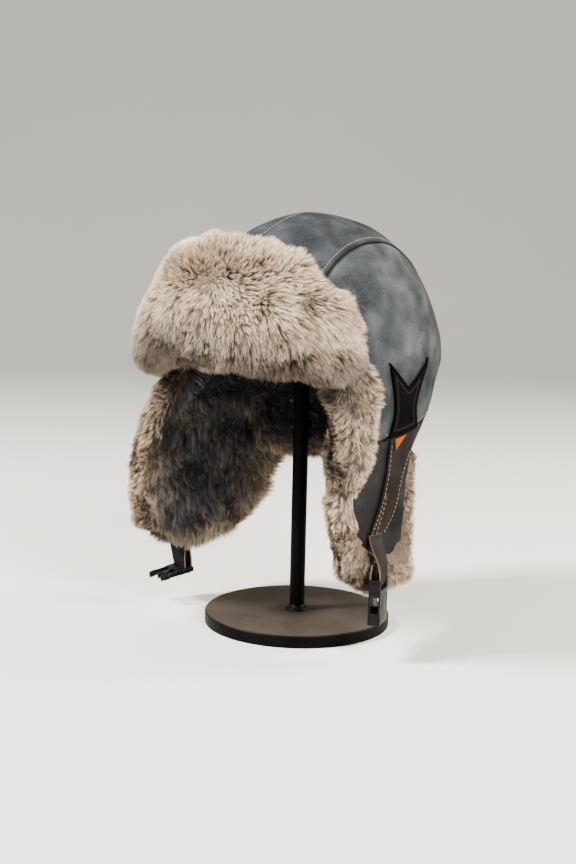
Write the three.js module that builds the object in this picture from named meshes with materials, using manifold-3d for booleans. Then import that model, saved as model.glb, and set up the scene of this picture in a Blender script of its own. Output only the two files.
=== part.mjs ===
// Fur-lined suede earflap cap on a plain metal hat stand, in millimetres, +Z up.
// The face opening looks along -Y and the wearer's left ear is on +X.
// The origin is the centre of the stand's foot, on the surface that it stands on.
import * as THREE from 'three';
import { mergeVertices } from 'three/addons/utils/BufferGeometryUtils.js';
import Module from 'manifold-3d';

const wasm = await Module();
wasm.setup();

const { clamp, degToRad, lerp, smoothstep } = THREE.MathUtils;

// Driving dimensions of the stand
const STAND = {
  baseRadius: 75,
  baseThickness: 10,
  baseEdge: 1.6,
  postRadius: 6.2,
  weldRadius: 9,
  weldHeight: 3,
  headRadius: 38,
  headHeight: 16,
  headDepth: 6,
  headChamfer: 4,
  headStart: 280,
  sides: 36,
};

// The head form: every cloth layer is this shape, drawn in by the layer's inset
const FORM = {
  halfWidth: 93,
  front: 116,
  back: 112,
  centreY: 12,
  widestZ: 215,
  domeHeight: 115,
  domeRoundness: 1.95,
  roundness: 2.15,
  leftFlare: -1,
  rightFlare: 15,
  flapSquareness: 2.6,
  napeTuck: 0.42,
  napeRoundness: 1.55,
  flareDrop: 95,
  sides: 36,
};

// Layers, as insets from the form's outer face
const SUEDE = 2;
const GAP = 0.3;
const LINING_FROM = 3.4;
const LINING_TO = 13.5;
const LINING_SIDES = 26;
const LINING_RELIEF = 2.5;
const TRIM_LEATHER = 1.6;

// Crown seams run front to back, this far out at the crown's middle, and close in to the rear
const SEAM = { halfWidth: 56, taper: 0.1 };

// Side outline of the suede, from brow to ear to nape: y grows to the rear
const SUEDE_EDGE = {
  left: [
    { y: -190, z: 226 },
    { y: -62, z: 217 },
    { y: -44, z: 200 },
    { y: -46, z: 178 },
    { y: -53, z: 150 },
    { y: -60, z: 122 },
    { y: -59, z: 96 },
    { y: -44, z: 74 },
    { y: -20, z: 61 },
    { y: 14, z: 60 },
    { y: 29, z: 72 },
    { y: 33, z: 96 },
    { y: 34, z: 118 },
    { y: 46, z: 129 },
    { y: 190, z: 131 },
  ],
  right: [
    { y: -190, z: 226 },
    { y: -62, z: 217 },
    { y: -58, z: 200 },
    { y: -63, z: 178 },
    { y: -70, z: 150 },
    { y: -75, z: 122 },
    { y: -70, z: 96 },
    { y: -52, z: 74 },
    { y: -26, z: 63 },
    { y: 6, z: 64 },
    { y: 22, z: 76 },
    { y: 31, z: 96 },
    { y: 38, z: 116 },
    { y: 50, z: 129 },
    { y: 190, z: 131 },
  ],
};

// The cross seam between the crown and the parts that hang from it
const CROSS_SEAM = [
  { y: -190, z: 148 },
  { y: -80, z: 152 },
  { y: -27, z: 158 },
  { y: 10, z: 165 },
  { y: 60, z: 172 },
  { y: 190, z: 175 },
];

// Where the ear flap ends and the nape begins
const NAPE_FROM = 46;

// Outer limits of the ear flap's fur, one row for each level
const FLAP_FUR = {
  left: [
    { z: 182, front: -56, rear: 66, outer: 6, inner: 14 },
    { z: 165, front: -62, rear: 60, outer: 8, inner: 15 },
    { z: 150, front: -64, rear: 54, outer: 8, inner: 16 },
    { z: 135, front: -66, rear: 47, outer: 8, inner: 16 },
    { z: 120, front: -67, rear: 48, outer: 8, inner: 16 },
    { z: 105, front: -67, rear: 53, outer: 9, inner: 16 },
    { z: 90, front: -64, rear: 55, outer: 10, inner: 16 },
    { z: 75, front: -58, rear: 55, outer: 10, inner: 16 },
    { z: 62, front: -48, rear: 51, outer: 10, inner: 15 },
    { z: 51, front: -33, rear: 41, outer: 8, inner: 11 },
  ],
  right: [
    { z: 182, front: -72, rear: 66, outer: 12, inner: 14 },
    { z: 165, front: -82, rear: 65, outer: 14, inner: 15 },
    { z: 150, front: -89, rear: 62, outer: 14, inner: 16 },
    { z: 135, front: -93, rear: 58, outer: 13, inner: 17 },
    { z: 120, front: -95, rear: 53, outer: 13, inner: 17 },
    { z: 105, front: -93, rear: 47, outer: 12, inner: 17 },
    { z: 90, front: -86, rear: 42, outer: 11, inner: 17 },
    { z: 76, front: -74, rear: 38, outer: 10, inner: 16 },
    { z: 64, front: -56, rear: 33, outer: 8, inner: 14 },
    { z: 55, front: -36, rear: 25, outer: 5, inner: 9 },
  ],
};
const FLAP_FUR_FOOT = { left: { y: 2, z: 46 }, right: { y: -6, z: 51 } };

// The rolled fur that climbs the face opening from the flap to the temple
const TEMPLE_FUR = {
  left: [
    { z: 150, front: -66, rear: -38, outer: 9, inner: 14 },
    { z: 166, front: -66, rear: -34, outer: 12, inner: 12 },
    { z: 182, front: -61, rear: -29, outer: 14, inner: 11 },
    { z: 198, front: -64, rear: -27, outer: 14, inner: 10 },
    { z: 212, front: -66, rear: -32, outer: 12, inner: 8 },
  ],
  right: [
    { z: 150, front: -85, rear: -46, outer: 15, inner: 14 },
    { z: 166, front: -81, rear: -40, outer: 18, inner: 12 },
    { z: 182, front: -75, rear: -34, outer: 20, inner: 11 },
    { z: 198, front: -69, rear: -31, outer: 18, inner: 11 },
    { z: 212, front: -62, rear: -33, outer: 14, inner: 9 },
  ],
};
const TEMPLE = { top: 212, foot: 150, rows: 3, around: 12, relief: 3 };

// The part of the flap's outer face that its fur border leaves bare
const FLAP_WINDOW = {
  left: [
    { y: -27, z: 260 },
    { y: -29, z: 206 },
    { y: -34, z: 180 },
    { y: -44, z: 150 },
    { y: -48, z: 120 },
    { y: -43, z: 96 },
    { y: -31, z: 81 },
    { y: -12, z: 72 },
    { y: 4, z: 72 },
    { y: 14, z: 83 },
    { y: 17, z: 104 },
    { y: 21, z: 128 },
    { y: 37, z: 144 },
    { y: 190, z: 147 },
    { y: 190, z: 260 },
  ],
  right: [
    { y: -27, z: 260 },
    { y: -29, z: 206 },
    { y: -38, z: 180 },
    { y: -52, z: 150 },
    { y: -59, z: 120 },
    { y: -53, z: 96 },
    { y: -38, z: 81 },
    { y: -16, z: 74 },
    { y: 0, z: 75 },
    { y: 11, z: 87 },
    { y: 19, z: 106 },
    { y: 28, z: 128 },
    { y: 44, z: 144 },
    { y: 190, z: 147 },
    { y: 190, z: 260 },
  ],
};

// The nape's fur roll: a section about the wall, carried round the back
const NAPE_FUR = {
  top: 186,
  foot: 121,
  inner: 14,
  outer: 7,
  from: 112,
  stations: 24,
  around: 12,
  rows: 4,
  relief: 3,
  bulge: 0.45,
};

// The turned-up front brim: one row for each angle, from the right temple to the left
const BRIM = [
  { angle: -66, foot: 212, top: 240, pile: 14 },
  { angle: -60, foot: 210, top: 262, pile: 22 },
  { angle: -52, foot: 209, top: 282, pile: 28 },
  { angle: -42, foot: 209, top: 293, pile: 32 },
  { angle: -31, foot: 211, top: 297, pile: 33 },
  { angle: -23, foot: 218, top: 300, pile: 35 },
  { angle: -15, foot: 226, top: 303, pile: 36 },
  { angle: -7, foot: 230, top: 305, pile: 37 },
  { angle: 2, foot: 229, top: 305, pile: 37 },
  { angle: 9, foot: 223, top: 304, pile: 37 },
  { angle: 17, foot: 221, top: 301, pile: 37 },
  { angle: 25, foot: 220, top: 297, pile: 37 },
  { angle: 33, foot: 217, top: 291, pile: 37 },
  { angle: 40, foot: 213, top: 284, pile: 36 },
  { angle: 46, foot: 210, top: 276, pile: 34 },
  { angle: 50, foot: 211, top: 269, pile: 31 },
  { angle: 54, foot: 216, top: 260, pile: 26 },
  { angle: 58, foot: 223, top: 247, pile: 16 },
];
const BRIM_SHAPE = {
  stations: 28,
  rows: 4,
  hem: 223,
  stand: 0.15,
  standRise: 80,
  border: 8,
  step: 0.4,
  lockShare: 0.16,
  lockDrop: 2,
  roomDepth: 12,
};

// How much of its full depth the brim's fur has, from its top edge to its foot
const BRIM_PROFILE = [
  { share: 0, depth: 0.2 },
  { share: 0.06, depth: 0.44 },
  { share: 0.15, depth: 0.58 },
  { share: 0.3, depth: 0.76 },
  { share: 0.5, depth: 0.9 },
  { share: 0.75, depth: 1 },
  { share: 0.9, depth: 0.96 },
  { share: 1, depth: 0.6 },
];

// Leather ear patches, in side view: a notched yoke on the crown and a chin strap tab on the flap
const EAR_YOKE = [
  { y: -9, z: 161.8 },
  { y: -3, z: 186 },
  { y: -9, z: 219 },
  { y: 15, z: 199 },
  { y: 42, z: 221 },
  { y: 26, z: 187 },
  { y: 28, z: 167.4 },
];
const EAR_TAB = [
  { y: -7, z: 160.9 },
  { y: -10, z: 134 },
  { y: -18, z: 108 },
  { y: -28, z: 89 },
  { y: -21, z: 85 },
  { y: -10, z: 86 },
  { y: 2, z: 104 },
  { y: 11, z: 130 },
  { y: 20, z: 152 },
  { y: 32, z: 166.8 },
];

// Fur pads: the lining and its rolled border, built about a wall
const PAD = { bulge: 0.6, edgeLock: 0.7, flapRows: 5, flapAround: 18, flapRelief: 3.2 };

// The plain woven tag under the cross seam, on the left side only
const TAG = [
  { y: -2.6, z: 161 },
  { y: -2.2, z: 152.4 },
  { y: 11, z: 163.4 },
];
const TAG_THICKNESS = 1;

// Chin straps: where each hangs, and the bar that it loops round
const STRAP = { width: 15, thickness: 1.8, barRadius: 2.1, room: 1.5, reach: 60 };
const STRAP_LEG = [0, 0.15, 0.3, 0.45, 0.6, 0.75, 0.88];
const CHIN_STRAPS = {
  left: { tabY: -23, tabZ: 91, bar: [108, -35, 60], across: 112, overFur: 2 },
  right: { tabY: -23, tabZ: 91, bar: [-112, -20, 28], across: -8, overFur: 6 },
};

// Side-release buckle
const BUCKLE = {
  width: 22,
  thickness: 9,
  barEnd: 2.6,
  socketLength: 26,
  wall: 1.4,
  plugBody: 7,
  prongLength: 18,
  prongWidth: 3.4,
  plugThickness: 4.6,
  windowDepth: 4,
  windowTop: 5,
  windowFoot: 9,
};
const PLUG_DOWN = [-0.18, -0.98, -0.14];

const material = (color, roughness, metalness = 0) =>
  new THREE.MeshStandardMaterial({ color, roughness, metalness });
const MATERIALS = {
  suede: material(0x5d656d, 0.95),
  fur: material(0xa8957c, 1),
  lining: material(0x7d6f5f, 1),
  leather: material(0x26211e, 0.6),
  tag: material(0xd8722f, 0.85),
  plastic: material(0x15161a, 0.4),
  steel: material(0x1b1b1f, 0.45, 0.6),
};

const cap = new THREE.Group();

/** Adds one named piece to the cap. */
function add(name, solid, surface) {
  const mesh = new THREE.Mesh(geometryOf(mainBody(solid)), surface);
  mesh.name = name;
  cap.add(mesh);
}

/** A closed geometry as a manifold solid, for cutting and joining. */
function solidOf(geometry) {
  const bare = geometry.clone();
  bare.deleteAttribute('normal');
  bare.deleteAttribute('uv');
  const merged = mergeVertices(bare, 1e-3);
  return new wasm.Manifold(
    new wasm.Mesh({
      numProp: 3,
      vertProperties: merged.attributes.position.array,
      triVerts: new Uint32Array(merged.index.array),
    }),
  );
}

/** A manifold solid as a geometry. */
function geometryOf(solid) {
  const { vertProperties, triVerts } = solid.getMesh();
  const geometry = new THREE.BufferGeometry();
  geometry.setAttribute('position', new THREE.BufferAttribute(vertProperties, 3));
  geometry.setIndex(new THREE.BufferAttribute(triVerts, 1));
  geometry.computeVertexNormals();
  return geometry;
}

/** The largest of the bodies that a cut leaves. */
function mainBody(solid) {
  const bodies = solid.decompose();
  return bodies.reduce((best, body) => (body.volume() > best.volume() ? body : best));
}

/**
 * A closed solid through rings of points; a ring of one point is a pole.
 * From the given ring on, the quads split the other way, to match a face whose rings run back.
 */
function loft(rings, turnBack = Infinity) {
  const positions = rings.flat().flatMap((p) => p.toArray());
  const starts = [];
  let total = 0;
  for (const ring of rings) {
    starts.push(total);
    total += ring.length;
  }
  const count = Math.max(...rings.map((ring) => ring.length));
  const at = (i, j) => starts[i] + (rings[i].length > 1 ? j % count : 0);
  const faces = [];
  for (let i = 0; i + 1 < rings.length; i++) {
    for (let j = 0; j < count; j++) {
      const [a, b, c, d] = [at(i, j), at(i, j + 1), at(i + 1, j), at(i + 1, j + 1)];
      if (i < turnBack) {
        if (a !== b) faces.push(a, b, c);
        if (c !== d) faces.push(b, d, c);
      } else {
        if (a !== b) faces.push(a, b, d);
        if (c !== d) faces.push(a, d, c);
      }
    }
  }
  if (signedVolume(positions, faces) < 0) faces.reverse();
  const geometry = new THREE.BufferGeometry();
  geometry.setAttribute('position', new THREE.Float32BufferAttribute(positions, 3));
  geometry.setIndex(faces);
  return solidOf(geometry);
}

/** Six times the volume that a triangle list encloses, negative if it faces inwards. */
function signedVolume(positions, faces) {
  const corner = (n) => new THREE.Vector3().fromArray(positions, 3 * n);
  let sum = 0;
  for (let i = 0; i < faces.length; i += 3) {
    sum += corner(faces[i]).dot(corner(faces[i + 1]).cross(corner(faces[i + 2])));
  }
  return sum;
}

/** The middle of a ring, as a one-point ring that closes a loft. */
function pole(ring) {
  const middle = new THREE.Vector3();
  ring.forEach((p) => middle.add(p));
  return [middle.divideScalar(ring.length)];
}

/** Rings with both ends closed at their middles. */
const closed = (rings) => [pole(rings[0]), ...rings, pole(rings[rings.length - 1])];

/** A value read from a table at a key, in straight lines between its rows. */
function tableAt(rows, key, x, column) {
  const rising = rows[0][key] < rows[rows.length - 1][key];
  const sorted = rising ? rows : [...rows].reverse();
  const after = sorted.findIndex((row) => row[key] >= x);
  if (after === 0) return sorted[0][column];
  if (after < 0) return sorted[sorted.length - 1][column];
  const [a, b] = [sorted[after - 1], sorted[after]];
  return lerp(a[column], b[column], (x - a[key]) / (b[key] - a[key]));
}

/** The form's plan on one side at a level: half sizes, and how square its quarters are. */
function planAt(side, z, inset) {
  const drop = clamp((FORM.widestZ - z) / FORM.flareDrop, 0, 1.25);
  const flare = drop * (side > 0 ? FORM.leftFlare : FORM.rightFlare);
  return {
    halfWidth: FORM.halfWidth + flare - inset,
    front: FORM.front - inset,
    back: FORM.back * (1 - FORM.napeTuck * drop) - inset,
    frontPower: FORM.roundness + FORM.flapSquareness * smoothstep(drop, 0, 1),
    backPower: lerp(FORM.roundness, FORM.napeRoundness, smoothstep(drop, 0.3, 0.8)),
  };
}

/** The form's radius from its upright axis; angle 0 is the front and 90 degrees the left ear. */
function radiusAt(angle, z, inset) {
  const { halfWidth, front, back, frontPower, backPower } = planAt(Math.sin(angle), z, inset);
  const [across, ahead] = [Math.abs(Math.sin(angle)), Math.cos(angle)];
  const n = ahead > 0 ? frontPower : backPower;
  const length = ahead > 0 ? front : back;
  return ((across / halfWidth) ** n + (Math.abs(ahead) / length) ** n) ** (-1 / n);
}

/** A point on the form's upright wall. */
function wallPoint(angle, z, inset) {
  const r = radiusAt(angle, z, inset);
  return new THREE.Vector3(r * Math.sin(angle), FORM.centreY - r * Math.cos(angle), z);
}

/** A point on the form's dome, where share is 0 at the crown's top and 1 at the widest level. */
function domePoint(angle, share, inset) {
  const rim = wallPoint(angle, FORM.widestZ, inset);
  const rise = (FORM.domeHeight - inset) * Math.sqrt(1 - share ** FORM.domeRoundness);
  const y = lerp(FORM.centreY, rim.y, share);
  return new THREE.Vector3(rim.x * share, y, FORM.widestZ + rise);
}

/** How far out from the mid plane one side wall stands at a side-view point. */
function wallX(side, y, z, inset) {
  const { halfWidth, front, back, frontPower, backPower } = planAt(side, z, inset);
  const ahead = FORM.centreY - y;
  const n = ahead > 0 ? frontPower : backPower;
  const share = Math.min(Math.abs(ahead) / (ahead > 0 ? front : back), 0.95);
  return halfWidth * (1 - share ** n) ** (1 / n);
}

const DOME_SHARES = [0.2, 0.4, 0.58, 0.74, 0.87, 0.96, 1];
const WALL_LEVELS = [195, 172, 150, 128, 105, 80, 55, 30];

/** The rings of one face of the form, from its top down to below the flaps. */
function formRings(inset, sides = FORM.sides) {
  const ring = (point) =>
    Array.from({ length: sides }, (_, j) => point((2 * Math.PI * j) / sides));
  return [
    [domePoint(0, 0, inset)],
    ...DOME_SHARES.map((share) => ring((angle) => domePoint(angle, share, inset))),
    ...WALL_LEVELS.map((z) => ring((angle) => wallPoint(angle, z, inset))),
  ];
}

/** The form as a solid block. */
function formBlock(inset) {
  const rings = formRings(inset);
  return loft([...rings, pole(rings[rings.length - 1])]);
}

/** A layer of cloth between two insets, open below. */
function layer(outer, inner) {
  const rings = formRings(outer);
  return loft([...rings, ...formRings(inner).reverse()], rings.length);
}

// Takes a shape drawn in (y, z) and extruded along its own z to the object's frame, extruded along x
const SIDE_VIEW = new THREE.Matrix4().makeBasis(
  new THREE.Vector3(0, 1, 0),
  new THREE.Vector3(0, 0, 1),
  new THREE.Vector3(1, 0, 0),
);

/** A side-view outline, carried across from one x to another. */
function sidePrism(outline, fromX = -200, toX = 200) {
  const shape = new THREE.Shape(outline.map(({ y, z }) => new THREE.Vector2(y, z)));
  const geometry = new THREE.ExtrudeGeometry(shape, { depth: toX - fromX, bevelEnabled: false });
  geometry.translate(0, 0, fromX);
  return solidOf(geometry.applyMatrix4(SIDE_VIEW));
}

/** An upright box between two corners. */
function box(low, high) {
  const size = high.clone().sub(low);
  const geometry = new THREE.BoxGeometry(size.x, size.y, size.z);
  const middle = low.clone().add(high).divideScalar(2);
  return solidOf(geometry.translate(middle.x, middle.y, middle.z));
}

const TOP = 400;
const FAR = 190;

/** Everything above a side-view line that runs from front to rear, moved up by a lift. */
const above = (line, lift = 0) =>
  sidePrism([
    ...line.map(({ y, z }) => ({ y, z: z + lift })),
    { y: FAR, z: TOP },
    { y: -FAR, z: TOP },
  ]);

/** Everything below a side-view line, down to the floor. */
const below = (line, lift = 0) =>
  sidePrism([
    { y: -FAR, z: 0 },
    { y: FAR, z: 0 },
    ...[...line].reverse().map(({ y, z }) => ({ y, z: z + lift })),
  ]);

/** A side-view line moved to its lower side by a distance. */
function movedOut(line, distance) {
  const normals = line.slice(1).map((end, i) => {
    const start = line[i];
    const length = Math.hypot(end.y - start.y, end.z - start.z);
    return new THREE.Vector2((end.z - start.z) / length, (start.y - end.y) / length);
  });
  return line.map(({ y, z }, i) => {
    const before = normals[Math.max(i - 1, 0)];
    const after = normals[Math.min(i, normals.length - 1)];
    const mitre = before.clone().add(after).normalize();
    mitre.multiplyScalar(distance / mitre.dot(after));
    return { y: y + mitre.x, z: z + mitre.y };
  });
}

/** Everything above the suede's edge, with the edge moved out by a distance. */
function aboveEdge(reach = 0) {
  const halves = [['left', 0, FAR], ['right', -FAR, 0]].map(([name, from, to]) =>
    sidePrism(
      [
        ...movedOut(SUEDE_EDGE[name], reach),
        { y: FAR, z: TOP },
        { y: -FAR, z: TOP },
      ],
      from,
      to,
    ),
  );
  return halves[0].add(halves[1]);
}

/** The suede with its panels' seams left as thin gaps. */
function suedePanels() {
  const suede = layer(0, SUEDE).intersect(aboveEdge());
  const crown = suede.intersect(above(CROSS_SEAM, GAP / 2));
  const lower = suede.intersect(below(CROSS_SEAM, -GAP / 2));
  const seamAt = (y) => SEAM.halfWidth - SEAM.taper * y;
  const strip = (reach) => {
    const shape = new THREE.Shape([
      new THREE.Vector2(-seamAt(-FAR) - reach, -FAR),
      new THREE.Vector2(seamAt(-FAR) + reach, -FAR),
      new THREE.Vector2(seamAt(FAR) + reach, FAR),
      new THREE.Vector2(-seamAt(FAR) - reach, FAR),
    ]);
    return solidOf(new THREE.ExtrudeGeometry(shape, { depth: TOP, bevelEnabled: false }));
  };
  const sides = crown.subtract(strip(GAP / 2));
  const half = (side) =>
    side > 0
      ? box(new THREE.Vector3(0, -FAR, 0), new THREE.Vector3(FAR, FAR, TOP))
      : box(new THREE.Vector3(-FAR, -FAR, 0), new THREE.Vector3(0, FAR, TOP));
  add('crown_centre_panel', crown.intersect(strip(-GAP / 2)), MATERIALS.suede);
  add('crown_side_left', sides.intersect(half(1)), MATERIALS.suede);
  add('crown_side_right', sides.intersect(half(-1)), MATERIALS.suede);
  const front = box(
    new THREE.Vector3(-FAR, -FAR, 0),
    new THREE.Vector3(FAR, NAPE_FROM - GAP / 2, TOP),
  );
  const rear = box(
    new THREE.Vector3(-FAR, NAPE_FROM + GAP / 2, 0),
    new THREE.Vector3(FAR, FAR, TOP),
  );
  const flaps = lower.intersect(front);
  add('ear_flap_left', flaps.intersect(half(1)), MATERIALS.suede);
  add('ear_flap_right', flaps.intersect(half(-1)), MATERIALS.suede);
  add('nape_panel', lower.intersect(rear), MATERIALS.suede);
}

/** How far a lock of fur stands out, 0 at its root and 1 at its tip; rows of locks are staggered. */
function lockAt(across, along) {
  const row = Math.floor(along + 1e-6);
  const share = along - row;
  const place = across + (row % 2) / 2;
  const ridge = Math.abs(place - Math.round(place)) * 2;
  return Math.sqrt(clamp(share, 0, 1)) * (1 - 0.75 * ridge);
}

const LOCK_STEPS = [0.02, 0.5, 0.96];

/** Levels from a top to a foot that give each row of locks its root, middle and tip. */
function lockLevels(top, foot, rows) {
  const levels = [];
  for (let row = 0; row < rows; row++) {
    for (const step of LOCK_STEPS) levels.push(lerp(top, foot, (row + step) / rows));
  }
  return levels;
}

/** Rings of a pad of fur about one side's wall, in locks that hang down. */
function furPad(table, side, { rows, around, relief, top, foot }) {
  return lockLevels(top, foot, rows).map((z) => {
    const limits = Object.fromEntries(
      ['front', 'rear', 'outer', 'inner'].map((column) => [column, tableAt(table, 'z', z, column)]),
    );
    const along = ((top - z) / (top - foot)) * rows;
    return Array.from({ length: around }, (_, j) => {
      const turn = (2 * Math.PI * j) / around;
      const lock = relief * lockAt(j / 2, along);
      const share = (1 - Math.cos(turn)) / 2;
      const y = lerp(limits.front, limits.rear, share);
      const bulge = Math.abs(Math.sin(turn)) ** PAD.bulge;
      const depth = Math.sin(turn) > 0 ? limits.outer : -(limits.inner + SUEDE);
      const swell = lock * (depth > 0 ? 1 : -1) * bulge;
      const edge = -lock * Math.cos(turn) * PAD.edgeLock;
      return new THREE.Vector3(side * (wallX(side, y, z, 0) + depth * bulge + swell), y + edge, z);
    });
  });
}

/** The space that the suede takes, with its clearance, so that fur can wrap round its edge. */
function suedeSlot() {
  return layer(-GAP, SUEDE + GAP).intersect(aboveEdge(GAP));
}

/** The rolled fur at one temple, grown on all sides by an amount. */
function templeFur(name, side, extra = 0) {
  const table = TEMPLE_FUR[name].map(({ z, front, rear, outer, inner }) => ({
    z,
    front: front - extra,
    rear: rear + extra,
    outer: outer + extra,
    inner: inner + extra,
  }));
  return loft(closed(furPad(table, side, TEMPLE)));
}

/** The space that the rolled fur at one temple needs, with its clearance. */
function templeRoom(name, side) {
  const grown = templeFur(name, side, 2 * GAP);
  return grown.add(grown.translate([0, 0, 2 * GAP])).add(grown.translate([0, 0, -2 * GAP]));
}

/** Fur of one ear flap: the lining inside, rolled over the edge as a border outside. */
function flapFur(name, side, slot, bare, strapSpace) {
  const table = FLAP_FUR[name];
  const hanging = furPad(table, side, {
    rows: PAD.flapRows,
    around: PAD.flapAround,
    relief: PAD.flapRelief,
    top: table[0].z,
    foot: table[table.length - 1].z,
  });
  const { y, z } = FLAP_FUR_FOOT[name];
  const foot = new THREE.Vector3(side * (wallX(side, y, z, 0) - 2), y, z);
  const flap = loft([pole(hanging[0]), ...hanging, [foot]]).intersect(below(CROSS_SEAM, -GAP / 2));
  const front = box(
    new THREE.Vector3(-FAR, -FAR, 0),
    new THREE.Vector3(FAR, NAPE_FROM - GAP / 2, TEMPLE.top),
  );
  return flap
    .add(templeFur(name, side))
    .intersect(front)
    .subtract(slot)
    .subtract(bare)
    .subtract(strapSpace);
}

/** Fur of the nape: the lining inside the back hem, rolled under it. */
function napeFur(slot, bare) {
  const { around, rows, relief } = NAPE_FUR;
  const stations = Array.from({ length: NAPE_FUR.stations + 1 }, (_, i) =>
    degToRad(lerp(NAPE_FUR.from, 360 - NAPE_FUR.from, i / NAPE_FUR.stations)),
  );
  const rings = stations.map((angle, i) =>
    Array.from({ length: around }, (_, j) => {
      const turn = (2 * Math.PI * j) / around;
      const share = (1 - Math.cos(turn)) / 2;
      const lock = relief * lockAt((i + Math.round(share * rows)) / 2, share * rows);
      const z = lerp(NAPE_FUR.top, NAPE_FUR.foot, share) - lock * share;
      const bulge = Math.abs(Math.sin(turn)) ** NAPE_FUR.bulge;
      const depth = Math.sin(turn) > 0 ? NAPE_FUR.outer + lock : -(NAPE_FUR.inner + SUEDE + lock);
      return wallPoint(angle, z, -depth * bulge);
    }),
  );
  const rear = box(
    new THREE.Vector3(-FAR, NAPE_FROM + GAP / 2, 0),
    new THREE.Vector3(FAR, FAR, TOP),
  );
  return loft(closed(rings))
    .intersect(rear)
    .intersect(below(CROSS_SEAM, -GAP / 2))
    .subtract(slot)
    .subtract(bare);
}

/** The crown's fur lining, seen from the face opening, in shallow rows of locks. */
function crownLining() {
  const outline = [
    { y: -FAR, z: 228 },
    { y: -62, z: 219 },
    { y: -50, z: TEMPLE.top + GAP },
    { y: -50, z: 156 },
    { y: -27, z: 158 + GAP / 2 },
    { y: 10, z: 165 + GAP / 2 },
    { y: 60, z: 172 + GAP / 2 },
    { y: FAR, z: 175 + GAP / 2 },
  ];
  const inner = formRings(LINING_TO, LINING_SIDES).map((ring, i) =>
    ring.map((p, j) => {
      const lock = ring.length > 1 ? LINING_RELIEF * lockAt(j / 2, i / 2 + 0.5) : 0;
      const middle = new THREE.Vector3(0, FORM.centreY, Math.min(p.z, FORM.widestZ));
      return p.clone().add(middle.sub(p).normalize().multiplyScalar(lock));
    }),
  );
  const lining = loft([...formRings(LINING_FROM, LINING_SIDES), ...inner.reverse()]);
  return lining
    .intersect(above(outline))
    .subtract(templeRoom('left', 1))
    .subtract(templeRoom('right', -1));
}

/** The brim's inner radius: it leaves the crown at the hem and stands up almost straight. */
function brimRadius(angle, z) {
  const rise = Math.max(z - BRIM_SHAPE.hem, 0) / BRIM_SHAPE.standRise;
  const fall = 1 - BRIM_SHAPE.stand * rise ** 1.5;
  return radiusAt(angle, FORM.widestZ, 0) * fall + BRIM_SHAPE.step;
}

/** A point of the brim, out from its inner face. */
function brimPoint(angle, z, out) {
  const r = brimRadius(angle, z) + out;
  return new THREE.Vector3(r * Math.sin(angle), FORM.centreY - r * Math.cos(angle), z);
}

/** The stations of the brim from one temple to the other. */
function brimStations() {
  const [first, last] = [BRIM[0].angle, BRIM[BRIM.length - 1].angle];
  return Array.from({ length: BRIM_SHAPE.stations + 1 }, (_, i) => {
    const degrees = lerp(first, last, i / BRIM_SHAPE.stations);
    const row = Object.fromEntries(
      ['foot', 'top', 'pile'].map((c) => [c, tableAt(BRIM, 'angle', degrees, c)]),
    );
    return { ...row, angle: degToRad(degrees) };
  });
}

/** The levels of the brim's backing at one station, from its hem up. */
function backingLevels({ top }) {
  const low = BRIM_SHAPE.hem;
  const high = Math.max(top - BRIM_SHAPE.border, low + 4);
  return [low, (low + high) / 2, high];
}

/** The suede that backs the brim's fur. */
function brimBacking() {
  const rings = brimStations().map((station) => {
    const levels = backingLevels(station);
    return [
      ...levels.map((z) => brimPoint(station.angle, z, 0)),
      ...levels.reverse().map((z) => brimPoint(station.angle, z, SUEDE)),
    ];
  });
  return loft(closed(rings));
}

/** The space behind the brim's fur, which the backing and the crown take. */
function brimRoom() {
  const stations = brimStations();
  const ends = [stations[0], stations[stations.length - 1]].map((station) => ({
    ...station,
    angle: station.angle + Math.sign(station.angle) * degToRad(0.5),
  }));
  const rings = [ends[0], ...stations.slice(1, -1), ends[1]].map((station) => {
    const levels = backingLevels(station);
    levels.unshift(Math.min(station.foot, BRIM_SHAPE.hem) - BRIM_SHAPE.border);
    levels.push(levels[levels.length - 1] + 2 * GAP);
    return [
      ...levels.map((z) => brimPoint(station.angle, z, -BRIM_SHAPE.roomDepth)),
      ...levels.reverse().map((z) => brimPoint(station.angle, z, SUEDE + 1.5 * GAP)),
    ];
  });
  return loft(closed(rings));
}

/** The brim's fur, in rows of locks over its outer face, round its top and below its hem. */
function brimFur() {
  const { rows } = BRIM_SHAPE;
  const rings = brimStations().map(({ angle, foot, top, pile }, i) => {
    const outer = LOCK_STEPS.length * rows;
    const ring = [];
    for (let row = 0; row < outer; row++) {
      const along = Math.floor(row / LOCK_STEPS.length) + LOCK_STEPS[row % LOCK_STEPS.length];
      const share = along / rows;
      const lock = lockAt(i / 2, along);
      const depth = pile * tableAt(BRIM_PROFILE, 'share', share, 'depth');
      const z = lerp(top, foot, share) - BRIM_SHAPE.lockDrop * lock;
      const out = depth * (1 - BRIM_SHAPE.lockShare * (1 - lock));
      ring.push(brimPoint(angle, z, SUEDE + GAP + out));
    }
    const behind = [0.97, 0.7, 0.4, 0.1, 0.02];
    return [...ring, ...behind.map((share) => brimPoint(angle, lerp(top, foot, share), 0))];
  });
  const aboveTemple = box(
    new THREE.Vector3(-FAR, -FAR, TEMPLE.top + GAP),
    new THREE.Vector3(FAR, FAR, TOP),
  );
  const fur = loft(closed(rings)).subtract(brimRoom());
  return fur.subtract(formBlock(-GAP)).intersect(aboveTemple);
}

/** A leather patch on one side, cut to a side-view outline and laid on the suede. */
function patch(outline, side) {
  const [low, high] = side > 0 ? [0, 200] : [-200, 0];
  const prism = sidePrism(outline, low, high);
  return layer(-GAP - TRIM_LEATHER, -GAP).intersect(prism);
}

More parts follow.
